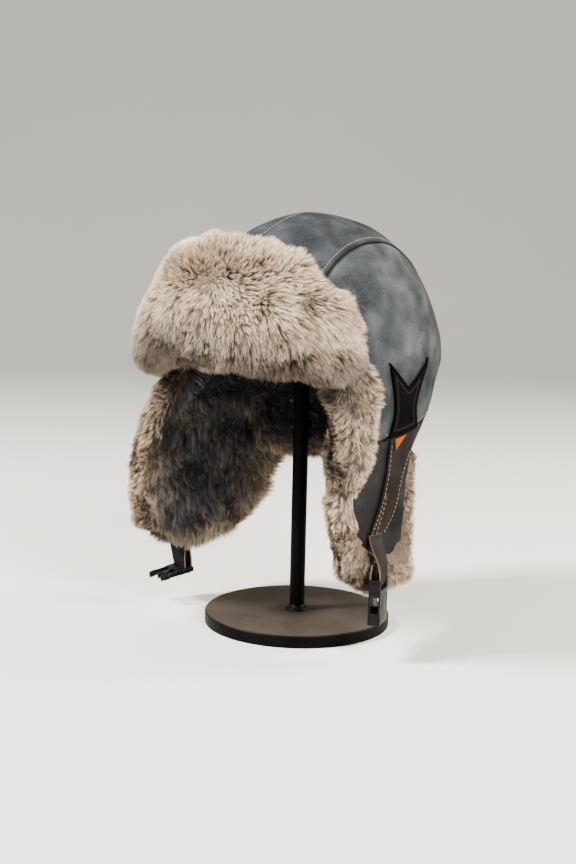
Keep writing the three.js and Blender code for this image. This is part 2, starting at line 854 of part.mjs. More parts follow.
/** A leather strap of rectangular section through rows of its middle line and frame. */
function ribbon(rows) {
  const rings = rows.map(({ at, thick, wide }) => {
    const t = thick.clone().setLength(STRAP.thickness / 2);
    const w = wide.clone().setLength(STRAP.width / 2);
    return [
      at.clone().add(t).add(w),
      at.clone().add(t).sub(w),
      at.clone().sub(t).sub(w),
      at.clone().sub(t).add(w),
    ];
  });
  return loft(closed(rings));
}

/** The strap's frame at a share of its way down: its flat faces outwards and turns as it hangs. */
function strapFrame(side, across, share) {
  const turn = degToRad(lerp(90, across, smoothstep(share, 0, 1)));
  return {
    wide: new THREE.Vector3(Math.cos(turn), Math.sin(turn), 0),
    thick: new THREE.Vector3(Math.sin(turn), -Math.cos(turn), 0).multiplyScalar(side),
  };
}

/** Rows of one chin strap: from the ear tab over the fur, round the buckle's bar and back up. */
function strapRows(side, { tabY, tabZ, bar, across, overFur }) {
  const reach = STRAP.barRadius + GAP + STRAP.thickness / 2;
  const outside = wallX(side, tabY, tabZ, 0) + 2.2 * GAP + TRIM_LEATHER + STRAP.thickness / 2;
  const top = new THREE.Vector3(side * outside, tabY, tabZ);
  const hang = new THREE.Vector3(...bar);
  const leg = (share) => {
    const { wide, thick } = strapFrame(side, across, share);
    const at = top.clone().lerp(hang, smoothstep(share, 0, 0.85)).setZ(lerp(tabZ, bar[2], share));
    at.x += side * overFur * Math.sin(Math.PI * share) ** 2;
    return { wide, thick, at: at.addScaledVector(thick, reach * smoothstep(share, 0, 1)) };
  };
  const rows = STRAP_LEG.map(leg);
  const { wide, thick: out } = strapFrame(side, across, 1);
  const steps = 6;
  for (let i = 0; i <= steps; i++) {
    const angle = (Math.PI * i) / steps;
    const thick = out.clone().multiplyScalar(Math.cos(angle)).setZ(-Math.sin(angle));
    rows.push({ at: hang.clone().addScaledVector(thick, reach), thick, wide });
  }
  for (const share of [0.88, 0.75, 0.6]) {
    const down = leg(share);
    const apart = 2 * reach * smoothstep(share, 0.2, 1) + STRAP.thickness;
    down.at.addScaledVector(down.thick, -Math.max(apart, STRAP.thickness + GAP));
    rows.push({ at: down.at, thick: down.thick.negate(), wide: down.wide });
  }
  return rows;
}

/** Turns a piece drawn with its bar along x, hanging along -y, to hang from a bar. */
function hangOn(solid, bar, wide, down) {
  const x = wide.clone().normalize();
  const z = x.clone().cross(down.clone().negate()).normalize();
  const y = z.clone().cross(x);
  return solid.transform(new THREE.Matrix4().makeBasis(x, y, z).setPosition(...bar).toArray());
}

/** A flat plate cut to a shape and extruded about its middle plane. */
function plate(shape, thickness) {
  const geometry = new THREE.ExtrudeGeometry(shape, { depth: thickness, bevelEnabled: false });
  return solidOf(geometry.translate(0, 0, -thickness / 2));
}

/** A rectangle as a shape. */
function rectangle(x0, y0, x1, y1) {
  return new THREE.Shape([
    new THREE.Vector2(x0, y0),
    new THREE.Vector2(x1, y0),
    new THREE.Vector2(x1, y1),
    new THREE.Vector2(x0, y1),
  ]);
}

/** The round bar that a strap loops round, with the two cheeks that hold it. */
function barWithCheeks(thickness, reach) {
  const half = BUCKLE.width / 2;
  const bar = new THREE.CylinderGeometry(STRAP.barRadius, STRAP.barRadius, BUCKLE.width - 2, 10);
  const cheek = (x) => rectangle(x, -reach, x + BUCKLE.barEnd, STRAP.barRadius + 0.9);
  return solidOf(bar.rotateZ(Math.PI / 2))
    .add(plate(cheek(-half), thickness))
    .add(plate(cheek(half - BUCKLE.barEnd), thickness));
}

const BODY_TOP = STRAP.barRadius + GAP + STRAP.thickness + 1;

/** The buckle's socket half: a flat box with an open mouth below and a window on each face. */
function buckleSocket() {
  const half = BUCKLE.width / 2;
  const foot = -BODY_TOP - BUCKLE.socketLength;
  const body = plate(rectangle(-half, foot, half, -BODY_TOP), BUCKLE.thickness);
  const mouth = plate(
    rectangle(-half + BUCKLE.wall, foot - 1, half - BUCKLE.wall, -BODY_TOP - BUCKLE.wall * 2),
    BUCKLE.thickness - 2 * BUCKLE.wall,
  );
  const windows = [-1, 1].map((end) => {
    const near = Math.min(end * half, end * (half - BUCKLE.windowDepth));
    const low = foot + BUCKLE.windowFoot;
    const high = -BODY_TOP - BUCKLE.windowTop;
    const shape = rectangle(near - 1, low, near + BUCKLE.windowDepth + 1, high);
    return plate(shape, BUCKLE.thickness - 2 * BUCKLE.wall);
  });
  return barWithCheeks(BUCKLE.thickness, BODY_TOP + 1)
    .add(body)
    .subtract(mouth)
    .subtract(windows[0])
    .subtract(windows[1]);
}

/** One springy side prong of the plug, with its catch. */
function prongShape(end, root, tip) {
  const outer = end * (BUCKLE.width / 2);
  const inner = end * (BUCKLE.width / 2 - BUCKLE.prongWidth);
  const catchIn = end * (BUCKLE.width / 2 - BUCKLE.prongWidth - 1.5);
  return new THREE.Shape([
    new THREE.Vector2(end * (BUCKLE.width / 2 - 1), root),
    new THREE.Vector2(end * (BUCKLE.width / 2 - 1.6), lerp(root, tip, 0.5)),
    new THREE.Vector2(outer, lerp(root, tip, 0.62)),
    new THREE.Vector2(outer, lerp(root, tip, 0.8)),
    new THREE.Vector2(end * (BUCKLE.width / 2 - 2.6), tip),
    new THREE.Vector2(catchIn, lerp(root, tip, 0.86)),
    new THREE.Vector2(inner, lerp(root, tip, 0.6)),
    new THREE.Vector2(inner, root),
  ]);
}

/** The buckle's plug half: a bar, a body, a guide tongue and two prongs. */
function bucklePlug() {
  const half = BUCKLE.width / 2;
  const root = -BODY_TOP - BUCKLE.plugBody;
  const tip = root - BUCKLE.prongLength;
  const tongue = rectangle(-BUCKLE.prongWidth / 2, tip + 3, BUCKLE.prongWidth / 2, root + 1);
  return barWithCheeks(BUCKLE.plugThickness, BODY_TOP + 1)
    .add(plate(rectangle(-half, root, half, -BODY_TOP), BUCKLE.plugThickness))
    .add(plate(prongShape(1, root + 1, tip), BUCKLE.plugThickness))
    .add(plate(prongShape(-1, root + 1, tip), BUCKLE.plugThickness))
    .add(plate(tongue, BUCKLE.plugThickness));
}

/** The woven tag, folded to a triangle, which hangs from the cross seam over the ear tab. */
function tag() {
  const wall = Math.max(...TAG.map(({ y, z }) => wallX(1, y, z, 0)));
  const x = wall + 3 * GAP + TRIM_LEATHER;
  return sidePrism(TAG, x, x + TAG_THICKNESS);
}

/** The foot disc with its post welded on, turned as one piece. */
function stand(postTop) {
  const { baseRadius: r, baseThickness: t, baseEdge: e, postRadius: p } = STAND;
  const profile = [
    [0, 0],
    [r - e / 2, 0],
    [r, e / 2],
    [r, t - e],
    [r - e * 0.3, t - e * 0.3],
    [r - e, t],
    [STAND.weldRadius, t],
    [STAND.weldRadius * 0.85, t + STAND.weldHeight * 0.6],
    [p, t + STAND.weldHeight],
    [p, postTop],
    [0, postTop],
  ];
  return turned(profile, STAND.sides);
}

/** A solid of revolution about the upright axis from a profile of [radius, height]. */
function turned(profile, sides) {
  const points = profile.map(([radius, height]) => new THREE.Vector2(radius, height));
  return solidOf(new THREE.LatheGeometry(points, sides).rotateX(Math.PI / 2));
}

/** The height of the stand's head above a level, at a distance from its axis. */
const headRise = (r) => STAND.headHeight * Math.sqrt(1 - (r / (STAND.headRadius + 2)) ** 2);

/** The plain domed head that carries the cap, out of sight inside the crown. */
function standHead(seat) {
  const foot = seat - STAND.headDepth;
  const profile = [
    [0, foot],
    [STAND.headRadius - STAND.headChamfer, foot],
    [STAND.headRadius, foot + STAND.headChamfer],
  ];
  const steps = 5;
  for (let i = 0; i <= steps; i++) {
    const r = STAND.headRadius * (1 - i / steps);
    profile.push([r, seat + headRise(r)]);
  }
  return turned(profile, STAND.sides / 2);
}

/** The room that a strap and its buckle need where they press into the fur. */
function strapRoom(side, rows, bar) {
  const loop = 2 * STRAP.barRadius + 2 * GAP + STRAP.thickness;
  const halfSize = ({ wide, thick }, axis) =>
    (Math.abs(wide[axis]) * STRAP.width + Math.abs(thick[axis]) * STRAP.thickness) / 2 + STRAP.room;
  const rings = rows.slice(0, STRAP_LEG.length).map((row, i) => {
    const { at, thick } = row;
    const inside = at.clone().addScaledVector(thick, i > 1 ? -loop : 0);
    return {
      nearX: side * (Math.min(side * at.x, side * inside.x) - halfSize(row, 'x')),
      fromY: Math.min(at.y, inside.y) - halfSize(row, 'y'),
      toY: Math.max(at.y, inside.y) + halfSize(row, 'y'),
      z: at.z,
    };
  });
  const [x, y, z] = bar;
  const half = BUCKLE.width / 2 + STRAP.room;
  const nearX = x - side * (BUCKLE.thickness + STRAP.room);
  for (const level of [z + 2 * STRAP.barRadius, z - BUCKLE.socketLength]) {
    rings.push({ nearX, fromY: y - half, toY: y + half, z: level });
  }
  return loft(
    closed(
      rings.map(({ nearX: near, fromY, toY, z: level }) => [
        new THREE.Vector3(near, fromY, level),
        new THREE.Vector3(near, toY, level),
        new THREE.Vector3(near + side * STRAP.reach, toY, level),
        new THREE.Vector3(near + side * STRAP.reach, fromY, level),
      ]),
    ),
  );
}

suedePanels();

const slot = suedeSlot();
const outside = formBlock(1);
const bare = {
  left: sidePrism(FLAP_WINDOW.left, 0).subtract(outside),
  right: sidePrism(FLAP_WINDOW.right, -FAR, 0).subtract(outside),
};

for (const [name, side] of [['left', 1], ['right', -1]]) {
  const strap = CHIN_STRAPS[name];
  const rows = strapRows(side, strap);
  const fur = flapFur(name, side, slot, bare[name], strapRoom(side, rows, strap.bar));
  add(`ear_flap_fur_${name}`, fur, MATERIALS.fur);
  add(`ear_yoke_${name}`, patch(EAR_YOKE, side), MATERIALS.leather);
  add(`ear_tab_${name}`, patch(EAR_TAB, side), MATERIALS.leather);
  add(`chin_strap_${name}`, ribbon(rows), MATERIALS.leather);
}
add('nape_fur', napeFur(slot, bare.left.add(bare.right)), MATERIALS.fur);
const lining = mainBody(crownLining());
add('crown_lining', lining, MATERIALS.lining);
add('brim_backing', brimBacking(), MATERIALS.suede);
add('brim_fur', brimFur(), MATERIALS.fur);
add('tag_left', tag(), MATERIALS.tag);

const socketAcross = strapFrame(1, CHIN_STRAPS.left.across, 1).wide;
const plugAcross = strapFrame(-1, CHIN_STRAPS.right.across, 1).wide;
const hangs = new THREE.Vector3(0, 0, -1);
const swings = new THREE.Vector3(...PLUG_DOWN);
const socket = hangOn(buckleSocket(), CHIN_STRAPS.left.bar, socketAcross, hangs);
const plug = hangOn(bucklePlug(), CHIN_STRAPS.right.bar, plugAcross, swings);
add('buckle_socket', socket, MATERIALS.plastic);
add('buckle_plug', plug, MATERIALS.plastic);

// The head is raised until the lining rests on it
let seat = STAND.headStart;
for (let step = 0; step < 4; step++) seat += standHead(seat).minGap(lining, 60) - GAP;
add('stand', stand(seat - STAND.headDepth - GAP), MATERIALS.steel);
add('stand_head', standHead(seat), MATERIALS.plastic);

export default cap;
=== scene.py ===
"""A suede earflap cap with deep fur on a plain hat stand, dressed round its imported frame.

Shapes are worked out in millimetres, in the frame of the CAD part, and made in metres.
"""

import logging
import math
from collections.abc import Callable
from dataclasses import dataclass
from enum import Enum

import bpy
import numpy as np
from mathutils import Matrix, Vector


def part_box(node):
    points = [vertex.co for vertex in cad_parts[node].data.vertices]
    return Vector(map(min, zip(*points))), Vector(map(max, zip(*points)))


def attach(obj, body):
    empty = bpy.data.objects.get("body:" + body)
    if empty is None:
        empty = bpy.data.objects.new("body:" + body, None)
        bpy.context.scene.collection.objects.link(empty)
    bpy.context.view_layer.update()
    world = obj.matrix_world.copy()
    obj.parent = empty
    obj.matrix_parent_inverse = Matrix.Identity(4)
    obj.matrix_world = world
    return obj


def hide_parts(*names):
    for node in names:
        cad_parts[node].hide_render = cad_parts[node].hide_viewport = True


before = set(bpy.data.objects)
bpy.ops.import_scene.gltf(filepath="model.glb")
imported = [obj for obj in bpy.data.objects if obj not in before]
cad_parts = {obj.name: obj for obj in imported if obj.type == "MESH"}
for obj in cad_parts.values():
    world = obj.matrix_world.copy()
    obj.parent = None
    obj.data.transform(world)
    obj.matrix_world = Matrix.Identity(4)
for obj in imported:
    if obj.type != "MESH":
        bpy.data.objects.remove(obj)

LOG = logging.getLogger("earflap_cap")
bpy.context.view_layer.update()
BODY = "root"
MM = 0.001
Array = np.ndarray
Shape = tuple[Array, Array]
Colour = tuple[float, float, float]
Object = bpy.types.Object
Material = bpy.types.Material


class Side(Enum):
    """A side of the cap, by the wearer's ear."""

    LEFT = 1
    RIGHT = -1

    @property
    def word(self) -> str:
        """The side's name in lower case."""
        return self.name.lower()


# Small sums on arrays


def lerp(a: Array | float, b: Array | float, share: Array | float) -> Array | float:
    """The value a share of the way from a to b."""
    return a + (b - a) * share


def smoothstep(x: Array | float, low: float, high: float) -> Array | float:
    """A smooth rise from 0 at low to 1 at high: 3t^2 - 2t^3."""
    t = np.clip((np.asarray(x, float) - low) / (high - low), 0, 1)
    return t * t * (3 - 2 * t)


def unit(v: Array) -> Array:
    """Vectors scaled to length 1."""
    return v / np.maximum(np.linalg.norm(v, axis=-1, keepdims=True), 1e-9)


def bump(x: Array, middle: float, width: float) -> Array:
    """A bell of height 1: exp(-((x - middle) / width)^2)."""
    return np.exp(-(((x - middle) / width) ** 2))


def swing(turn: Array) -> Array:
    """A share that goes from 0 to 1 in half a turn and back in the other half."""
    return (1 - np.cos(turn)) / 2


def crowded(count: int) -> Array:
    """Shares from 0 to 1 that crowd at both ends."""
    return swing(np.pi * np.linspace(0, 1, count))


def full_turn(steps: int) -> Array:
    """Angles evenly spaced once round."""
    return np.linspace(0, 2 * np.pi, steps, endpoint=False)


def lengths_along(points: Array) -> Array:
    """The length of a line up to each of its points."""
    steps = np.linalg.norm(np.diff(points, axis=0), axis=1)
    return np.concatenate([[0], np.cumsum(steps)])


def resampled(points: Array, shares: Array) -> Array:
    """Points at shares of a line's length, in straight lines between its points."""
    along = lengths_along(points)
    return np.stack([np.interp(shares * along[-1], along, c) for c in points.T], axis=1)


def smooth_line(points: Array, count: int) -> Array:
    """A Catmull-Rom curve through points, as evenly spaced points.

    Each stretch is a cubic set by its four nearest points.
    """
    p = np.asarray(points, float)
    p = np.concatenate([[2 * p[0] - p[1]], p, [2 * p[-1] - p[-2]]])
    stretches = len(p) - 3
    t = np.linspace(0, stretches, 12 * stretches + 1)
    i = np.minimum(t.astype(int), stretches - 1)
    f = (t - i)[:, None]
    a, b, c, d = p[i], p[i + 1], p[i + 2], p[i + 3]
    curve = b + 0.5 * f * (c - a + f * (2 * a - 5 * b + 4 * c - d + f * (3 * (b - c) + d - a)))
    return resampled(curve, np.linspace(0, 1, count))


def smooth_table(table: Array, x: Array, column: int = 1) -> Array:
    """A table's column read at values of its first by a smooth curve through its rows.

    Each stretch is a Hermite cubic whose slopes are the mean slopes at its two rows.
    """
    keys, values = np.array(table[:, 0], float), np.array(table[:, column], float)
    slopes = np.gradient(values, keys)
    i = np.clip(np.searchsorted(keys, x) - 1, 0, len(keys) - 2)
    h = keys[i + 1] - keys[i]
    t = np.clip((x - keys[i]) / h, 0, 1)
    rise = values[i + 1] - values[i]
    a = slopes[i] * h - rise
    b = rise - slopes[i + 1] * h
    return values[i] + rise * t + t * (1 - t) * (a * (1 - t) + b * t)


def distance_to_line(p: Array, line: Array) -> Array:
    """The distance from each point to the nearest stretch of a closed line."""
    run = np.roll(line, -1, axis=0) - line
    along = ((p[:, None] - line) * run).sum(-1) / np.maximum((run**2).sum(-1), 1e-9)
    nearest = line + run * np.clip(along, 0, 1)[..., None]
    return np.linalg.norm(p[:, None] - nearest, axis=-1).min(axis=1)


def inside_outline(p: Array, outline: Array) -> Array:
    """Whether each flat point is inside an outline: a ray from it crosses it an odd number of times."""
    a, b = outline, np.roll(outline, -1, axis=0)
    y, z = p[:, :1], p[:, 1:2]
    spans = (a[:, 1] > z) != (b[:, 1] > z)
    rise = np.where(b[:, 1] == a[:, 1], 1e-9, b[:, 1] - a[:, 1])
    cross = a[:, 0] + (z - a[:, 1]) / rise * (b[:, 0] - a[:, 0])
    return (spans & (y < cross)).sum(axis=1) % 2 == 1


@dataclass(frozen=True)
class Ripple:
    """A smooth random field: a sum of seeded sine waves in all directions.

    Args:
        size: the usual distance between two crests, in millimetres.
        seed: the seed of its random draws.
        waves: how many sines are summed.
    """

    size: float
    seed: int
    waves: int = 9

    def at(self, p: Array) -> Array:
        """The field at points, mostly between -1 and 1."""
        rng = np.random.default_rng(self.seed)
        ways = unit(rng.normal(size=(self.waves, 3)))
        ways *= (2 * np.pi / self.size) * rng.uniform(0.6, 1.5, (self.waves, 1))
        phases = rng.uniform(0, 2 * np.pi, self.waves)
        total = np.zeros(p.shape[:-1])
        for way, phase in zip(ways, phases):
            total += np.sin(p @ way + phase)
        return total / math.sqrt(self.waves / 2)

    def vector_at(self, p: Array) -> Array:
        """Three unlike fields at points, as a vector field."""
        fields = [Ripple(self.size, self.seed + 101 * k, self.waves) for k in range(3)]
        return np.stack([f.at(p) for f in fields], axis=-1)


# Meshes


def put_object(name: str, data: bpy.types.ID) -> Object:
    """Links a mesh, lamp or camera to the scene as an object at the origin."""
    made = bpy.data.objects.new(name, data)
    bpy.context.scene.collection.objects.link(made)
    return made


def merged(points: Array, faces: Array) -> tuple[Array, Array]:
    """Which points are kept when those at one place become one, and the faces on them."""
    rounded = np.round(points, 4)
    _, kept, new = np.unique(rounded, axis=0, return_index=True, return_inverse=True)
    return kept, new.reshape(-1)[faces]


def mesh_object(
    name: str,
    points: Array,
    faces: Array,
    marks: dict[str, Array] | None = None,
    uv: Array | None = None,
) -> Object:
    """Makes an object from arrays; points at one place are merged unless it has a map.

    Args:
        name: the piece's name.
        points: its points in millimetres, one row each.
        faces: its faces, all with three or all with four corners.
        marks: point attributes by name, one number for each point.
        uv: the OFBake map, one row for each point.
    """
    kept = np.arange(len(points))
    if uv is None:
        kept, faces = merged(points, faces)
    real = faces != np.roll(faces, -1, axis=1)
    whole = real.sum(axis=1) > 2
    faces, real = faces[whole], real[whole]
    corners = np.ascontiguousarray(faces[real], np.int32)
    starts = np.concatenate([[0], real.sum(axis=1).cumsum()[:-1]]).astype(np.int32)
    mesh = bpy.data.meshes.new(name)
    mesh.vertices.add(len(kept))
    mesh.vertices.foreach_set("co", np.ascontiguousarray(points[kept] * MM, np.float32).ravel())
    mesh.loops.add(len(corners))
    mesh.loops.foreach_set("vertex_index", corners)
    mesh.polygons.add(len(faces))
    mesh.polygons.foreach_set("loop_start", starts)
    mesh.polygons.foreach_set("use_smooth", np.ones(len(faces), bool))
    mesh.update(calc_edges=True)
    for key, values in (marks or {}).items():
        layer = mesh.attributes.new(key, "FLOAT", "POINT")
        layer.data.foreach_set("value", np.ascontiguousarray(values[kept], np.float32))
    if uv is not None:
        layer = mesh.uv_layers.new(name="OFBake")
        layer.data.foreach_set("uv", np.ascontiguousarray(uv[corners], np.float32).ravel())
    return put_object(name, mesh)


def grid_faces(rows: int, columns: int, shut: bool = False) -> Array:
    """The quads of a grid of points, row after row, whose last column may join the first."""
    start = np.arange(rows - 1)[:, None] * columns
    j = np.arange(columns if shut else columns - 1)[None]
    beside = (j + 1) % columns
    quads = [start + j, start + beside, start + columns + beside, start + columns + j]
    return np.stack(quads, axis=-1).reshape(-1, 4)


def share_grid(rows: int, columns: int) -> tuple[Array, Array]:
    """Two parameters from 0 to 1 over a grid, each as one long row."""
    u, v = np.meshgrid(np.linspace(0, 1, rows), np.linspace(0, 1, columns), indexing="ij")
    return u.ravel(), v.ravel()


def facing(points: Array, faces: Array, outward: Array) -> Array:
    """Faces turned, all together, so that they look the way that outward vectors point."""
    a, b, c = (points[faces[:, k]] for k in range(3))
    agreement = (np.cross(b - a, c - a) * outward[faces[:, 0]]).sum()
    return faces if agreement > 0 else faces[:, ::-1]


def thicken(made: Object, thickness: float) -> None:
    """Gives a sheet its thickness, inwards from its outer face, in millimetres."""
    solid = made.modifiers.new("thickness", "SOLIDIFY")
    solid.thickness = thickness * MM
    solid.offset = -1
    solid.use_even_offset = False


def dress(made: Object, material: Material, slot: str, *nodes: str) -> None:
    """Gives a piece its material and its body, and hides the CAD nodes that it stands for.

    Args:
        made: the piece.
        material: its material.
        slot: the material slot; not used.
        nodes: the CAD nodes that the piece stands for.
    """
    made.data.materials.append(material)
    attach(made, BODY)
    if nodes:
        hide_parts(*nodes)
    LOG.info("%s: %d points", made.name, len(made.data.vertices))


def joined(parts: list[Shape]) -> Shape:
    """Points and faces of several shapes, as one list of each."""
    points, faces, start = [], [], 0
    for p, f in parts:
        points.append(p)
        faces.append(f + start)
        start += len(p)
    return np.concatenate(points), np.concatenate(faces)


def shut_tube(rings: Array) -> Shape:
    """A closed skin through rings of points, with each end drawn in to its middle."""
    ends = [np.repeat(r.mean(axis=0)[None], len(r), axis=0) for r in (rings[0], rings[-1])]
    nested = np.concatenate([ends[0][None], rings, ends[1][None]])
    count, around = nested.shape[:2]
    return nested.reshape(-1, 3), grid_faces(count, around, shut=True)


def tube_along(line: Array, up: Array, radius: float, sides: int = 8) -> Shape:
    """A closed round tube about a line that lies on a surface with outward directions up."""
    across = unit(np.cross(np.gradient(line, axis=0), up))
    away = np.cross(across, unit(np.gradient(line, axis=0)))
    turn = full_turn(sides)
    ring = np.cos(turn)[:, None] * across[:, None] + np.sin(turn)[:, None] * away[:, None]
    return shut_tube(line[:, None] + radius * ring)


def rounded_box(half: Array, radius: float) -> Shape:
    """A box with round edges, from half of each side: a ball pulled apart into its eight corners."""
    quarter = np.linspace(0.02, np.pi / 2 - 0.02, 4)
    turn = np.concatenate([quarter + k * np.pi / 2 for k in range(4)])
    tilt = np.concatenate([quarter - np.pi / 2, quarter])
    t, p = np.meshgrid(tilt, turn, indexing="ij")
    ball = np.stack([np.cos(t) * np.cos(p), np.cos(t) * np.sin(p), np.sin(t)], axis=-1)
    return shut_tube(np.sign(ball) * (half - radius) + radius * ball)


# Shader sums


def srgb(red: float, green: float, blue: float) -> Colour:
    """A colour from its 0 to 255 screen values, as linear light."""
    shares = (np.array([red, green, blue]) / 255).tolist()
    return tuple(s / 12.92 if s <= 0.04045 else ((s + 0.055) / 1.055) ** 2.4 for s in shares)


class Sum:
    """A shader socket whose Python operators add Math nodes."""

    def __init__(self, shader: "Shader", socket: bpy.types.NodeSocket) -> None:
        """Wraps an output socket of a shader's tree."""
        self.shader = shader
        self.socket = socket

    def math(self, operation: str, other: "Sum | float") -> "Sum":
        """One Math node of this socket and another value."""
        return self.shader.node("ShaderNodeMath", {"operation": operation}, {0: self, 1: other})

    def __add__(self, other: "Sum | float") -> "Sum":
        """Adds."""
        return self.math("ADD", other)

    def __mul__(self, other: "Sum | float") -> "Sum":
        """Multiplies."""
        return self.math("MULTIPLY", other)

    def __sub__(self, other: "Sum | float") -> "Sum":
        """Takes away."""
        return self.math("SUBTRACT", other)

    def between(self, low: float, high: float) -> "Sum":
        """A smooth rise from 0 to 1 as the value goes from low to high."""
        settings = {"interpolation_type": "SMOOTHSTEP"}
        inputs = {"Value": self, "From Min": low, "From Max": high}
        return self.shader.node("ShaderNodeMapRange", settings, inputs, "Result")


class Shader:
    """A material's tree, with one Principled shader."""

    def __init__(self, name: str) -> None:
        """Starts a material with a bare tree."""
        self.material = bpy.data.materials.new(name)
        self.material.use_nodes = True
        self.tree = self.material.node_tree
        self.tree.nodes.clear()
        self.surface = self.tree.nodes.new("ShaderNodeBsdfPrincipled")
        output = self.tree.nodes.new("ShaderNodeOutputMaterial")
        self.tree.links.new(self.surface.outputs["BSDF"], output.inputs["Surface"])

    def feed(self, node: bpy.types.Node, name: str | int, value: object) -> None:
        """Links or sets one input of a node."""
        socket = node.inputs[name]
        if isinstance(value, Sum):
            self.tree.links.new(value.socket, socket)
        elif isinstance(value, tuple) and len(socket.default_value) == 4:
            socket.default_value = (*value, 1.0)
        else:
            socket.default_value = value

    def node(self, kind: str, settings: dict, inputs: dict, out: str | int = 0) -> Sum:
        """Adds a node and gives one of its outputs.

        Args:
            kind: the node's type.
            settings: its own settings, which are set first; stops are a ramp's.
            inputs: the values or links of its sockets.
            out: the output that is wanted.
        """
        node = self.tree.nodes.new(kind)
        for key, value in settings.items():
            if key == "stops":
                self.set_stops(node, value)
            else:
                setattr(node, key, value)
        for name, value in inputs.items():
            self.feed(node, name, value)
        return Sum(self, node.outputs[out])

    @staticmethod
    def set_stops(node: bpy.types.Node, stops: list[tuple[float, Colour]]) -> None:
        """Gives a ramp its stops."""
        ramp = node.color_ramp
        while len(ramp.elements) < len(stops):
            ramp.elements.new(0.5)
        for element, (place, colour) in zip(ramp.elements, stops):
            element.position = place
            element.color = (*colour, 1)

    def place(self) -> Sum:
        """The piece's own coordinates, in metres."""
        return self.node("ShaderNodeTexCoord", {}, {}, "Object")

    def noise(self, size: float, detail: float, rough: float) -> Sum:
        """Cloudy noise about 0.5, with its coarsest features of a size in millimetres."""
        scale = 1 / (size * MM)
        inputs = {"Vector": self.place(), "Scale": scale, "Detail": detail, "Roughness": rough}
        return self.node("ShaderNodeTexNoise", {}, inputs, "Fac")

    def mark(self, name: str) -> Sum:
        """A point attribute of the piece."""
        return self.node("ShaderNodeAttribute", {"attribute_name": name}, {}, "Fac")

    def ramp(self, value: Sum, stops: list[tuple[float, Colour]]) -> Sum:
        """Colours along a value."""
        return self.node("ShaderNodeValToRGB", {"stops": stops}, {"Fac": value}, "Color")

    def mix(self, share: Sum | float, a: Sum | Colour, b: Sum | Colour) -> Sum:
        """A mix of two colours."""
        return self.node("ShaderNodeMix", {"data_type": "RGBA"}, {0: share, 6: a, 7: b}, 2)

    def relief(self, height: Sum, depth: float, strength: float = 1.0) -> Sum:
        """A bump of a depth in millimetres."""
        inputs = {"Height": height, "Distance": depth * MM, "Strength": strength}
        return self.node("ShaderNodeBump", {}, inputs, "Normal")

    def finish(
        self,
        colour: Sum | Colour,
        rough: Sum | float,
        normal: Sum | None = None,
        shine: float | None = None,
    ) -> Material:
        """Feeds the surface its colour, roughness, bump and the level of its highlight."""
        self.feed(self.surface, "Base Color", colour)
        self.feed(self.surface, "Roughness", rough)
        if normal is not None:
            self.feed(self.surface, "Normal", normal)
        if shine is not None:
            self.feed(self.surface, "Specular IOR Level", shine)
        return self.material


# Finishes


@dataclass(frozen=True)
class Suede:
    """Napped slate-grey suede, clouded where its nap lies the other way."""

    name: str = "slate_suede"
    deep: Colour = srgb(17, 19, 22)
    body: Colour = srgb(45, 49, 53)
    bloom: Colour = srgb(95, 101, 105)
    scuff: Colour = srgb(28, 26, 25)

    def material(self) -> Material:
        """Clouds of light and dark nap, brown scuffs, a fine speckle, and painted shade low on the crown
        panels and along the seams.
        """
        s = Shader(self.name)
        clouds = s.noise(60, 4, 0.6)
        patches = s.noise(24, 4, 0.65)
        speckle = s.noise(1.6, 3, 0.7)
        fibre = s.noise(0.8, 3, 0.65)
        tone = s.mix(clouds.between(0.3, 0.62), self.deep, self.body)
        tone = s.mix(patches.between(0.38, 0.8) * 0.62, tone, self.bloom)
        tone = s.mix(s.noise(42, 3, 0.6).between(0.58, 0.72) * 0.6, tone, self.scuff)
        tone = s.mix(s.noise(6, 4, 0.65).between(0.42, 0.66) * 0.4, tone, self.deep)
        tone = s.mix(speckle.between(0.5, 0.74) * 0.22, tone, self.bloom)
        tone = s.mix(fibre.between(0.46, 0.7) * 0.6, tone, self.deep)
        # Painted shade: darker low on the crown panels and along the seams.
        tone = s.mix(s.mark("low") * 0.45, tone, self.deep)
        tone = s.mix(s.mark("seam") * 0.6, tone, self.deep)
        normal = s.relief(speckle + fibre * 0.6 + patches * 1.5, 0.5, 0.7)
        return s.finish(tone, 0.95, normal, shine=0.08)


@dataclass(frozen=True)
class Fur:
    """Deep faux fur: warm beige tips over grey-brown roots, with a cooler, darker ramp painted as shade
    inside the cap.
    """

    warm: tuple[tuple[float, Colour], ...] = (
        (0.0, srgb(40, 34, 30)),
        (0.35, srgb(91, 79, 66)),
        (0.7, srgb(193, 172, 147)),
        (1.0, srgb(252, 236, 211)),
    )
    # The colours of the painted shade inside the cap.
    cool: tuple[tuple[float, Colour], ...] = (
        (0.0, srgb(11, 13, 18)),
        (0.35, srgb(33, 36, 43)),
        (0.7, srgb(76, 80, 87)),
        (1.0, srgb(142, 143, 144)),
    )

    def tone(self, s: Shader, cool: Sum, along: Sum) -> Sum:
        """The colour at a place along a strand, mixed towards the painted inner shade by how far inside
        the cap it grows.
        """
        return s.mix(cool, s.ramp(along, list(self.warm)), s.ramp(along, list(self.cool)))

    def strands(self) -> Material:
        """The bare strands: the map's first axis is the painted inner shade, its second runs to the tip.
        """
        s = Shader("fur_strands")
        uv = s.node("ShaderNodeUVMap", {"uv_map": "OFBake"}, {}, "UV")
        cool, along = (s.node("ShaderNodeSeparateXYZ", {}, {"Vector": uv}, axis) for axis in "XY")
        return s.finish(self.tone(s, cool, along), 0.6, shine=0.3)

    def undercoat(self) -> Material:
        """The dense wool that the strands grow from, with the same painted inner shade."""
        s = Shader("fur_undercoat")
        clumps = s.noise(3.2, 3, 0.65)
        wisps = s.noise(0.9, 3, 0.6)
        tone = self.tone(s, s.mark("cool"), clumps * 0.35 + wisps * 0.25)
        return s.finish(tone, 0.95, s.relief(clumps + wisps * 0.7, 1.6), shine=0.1)


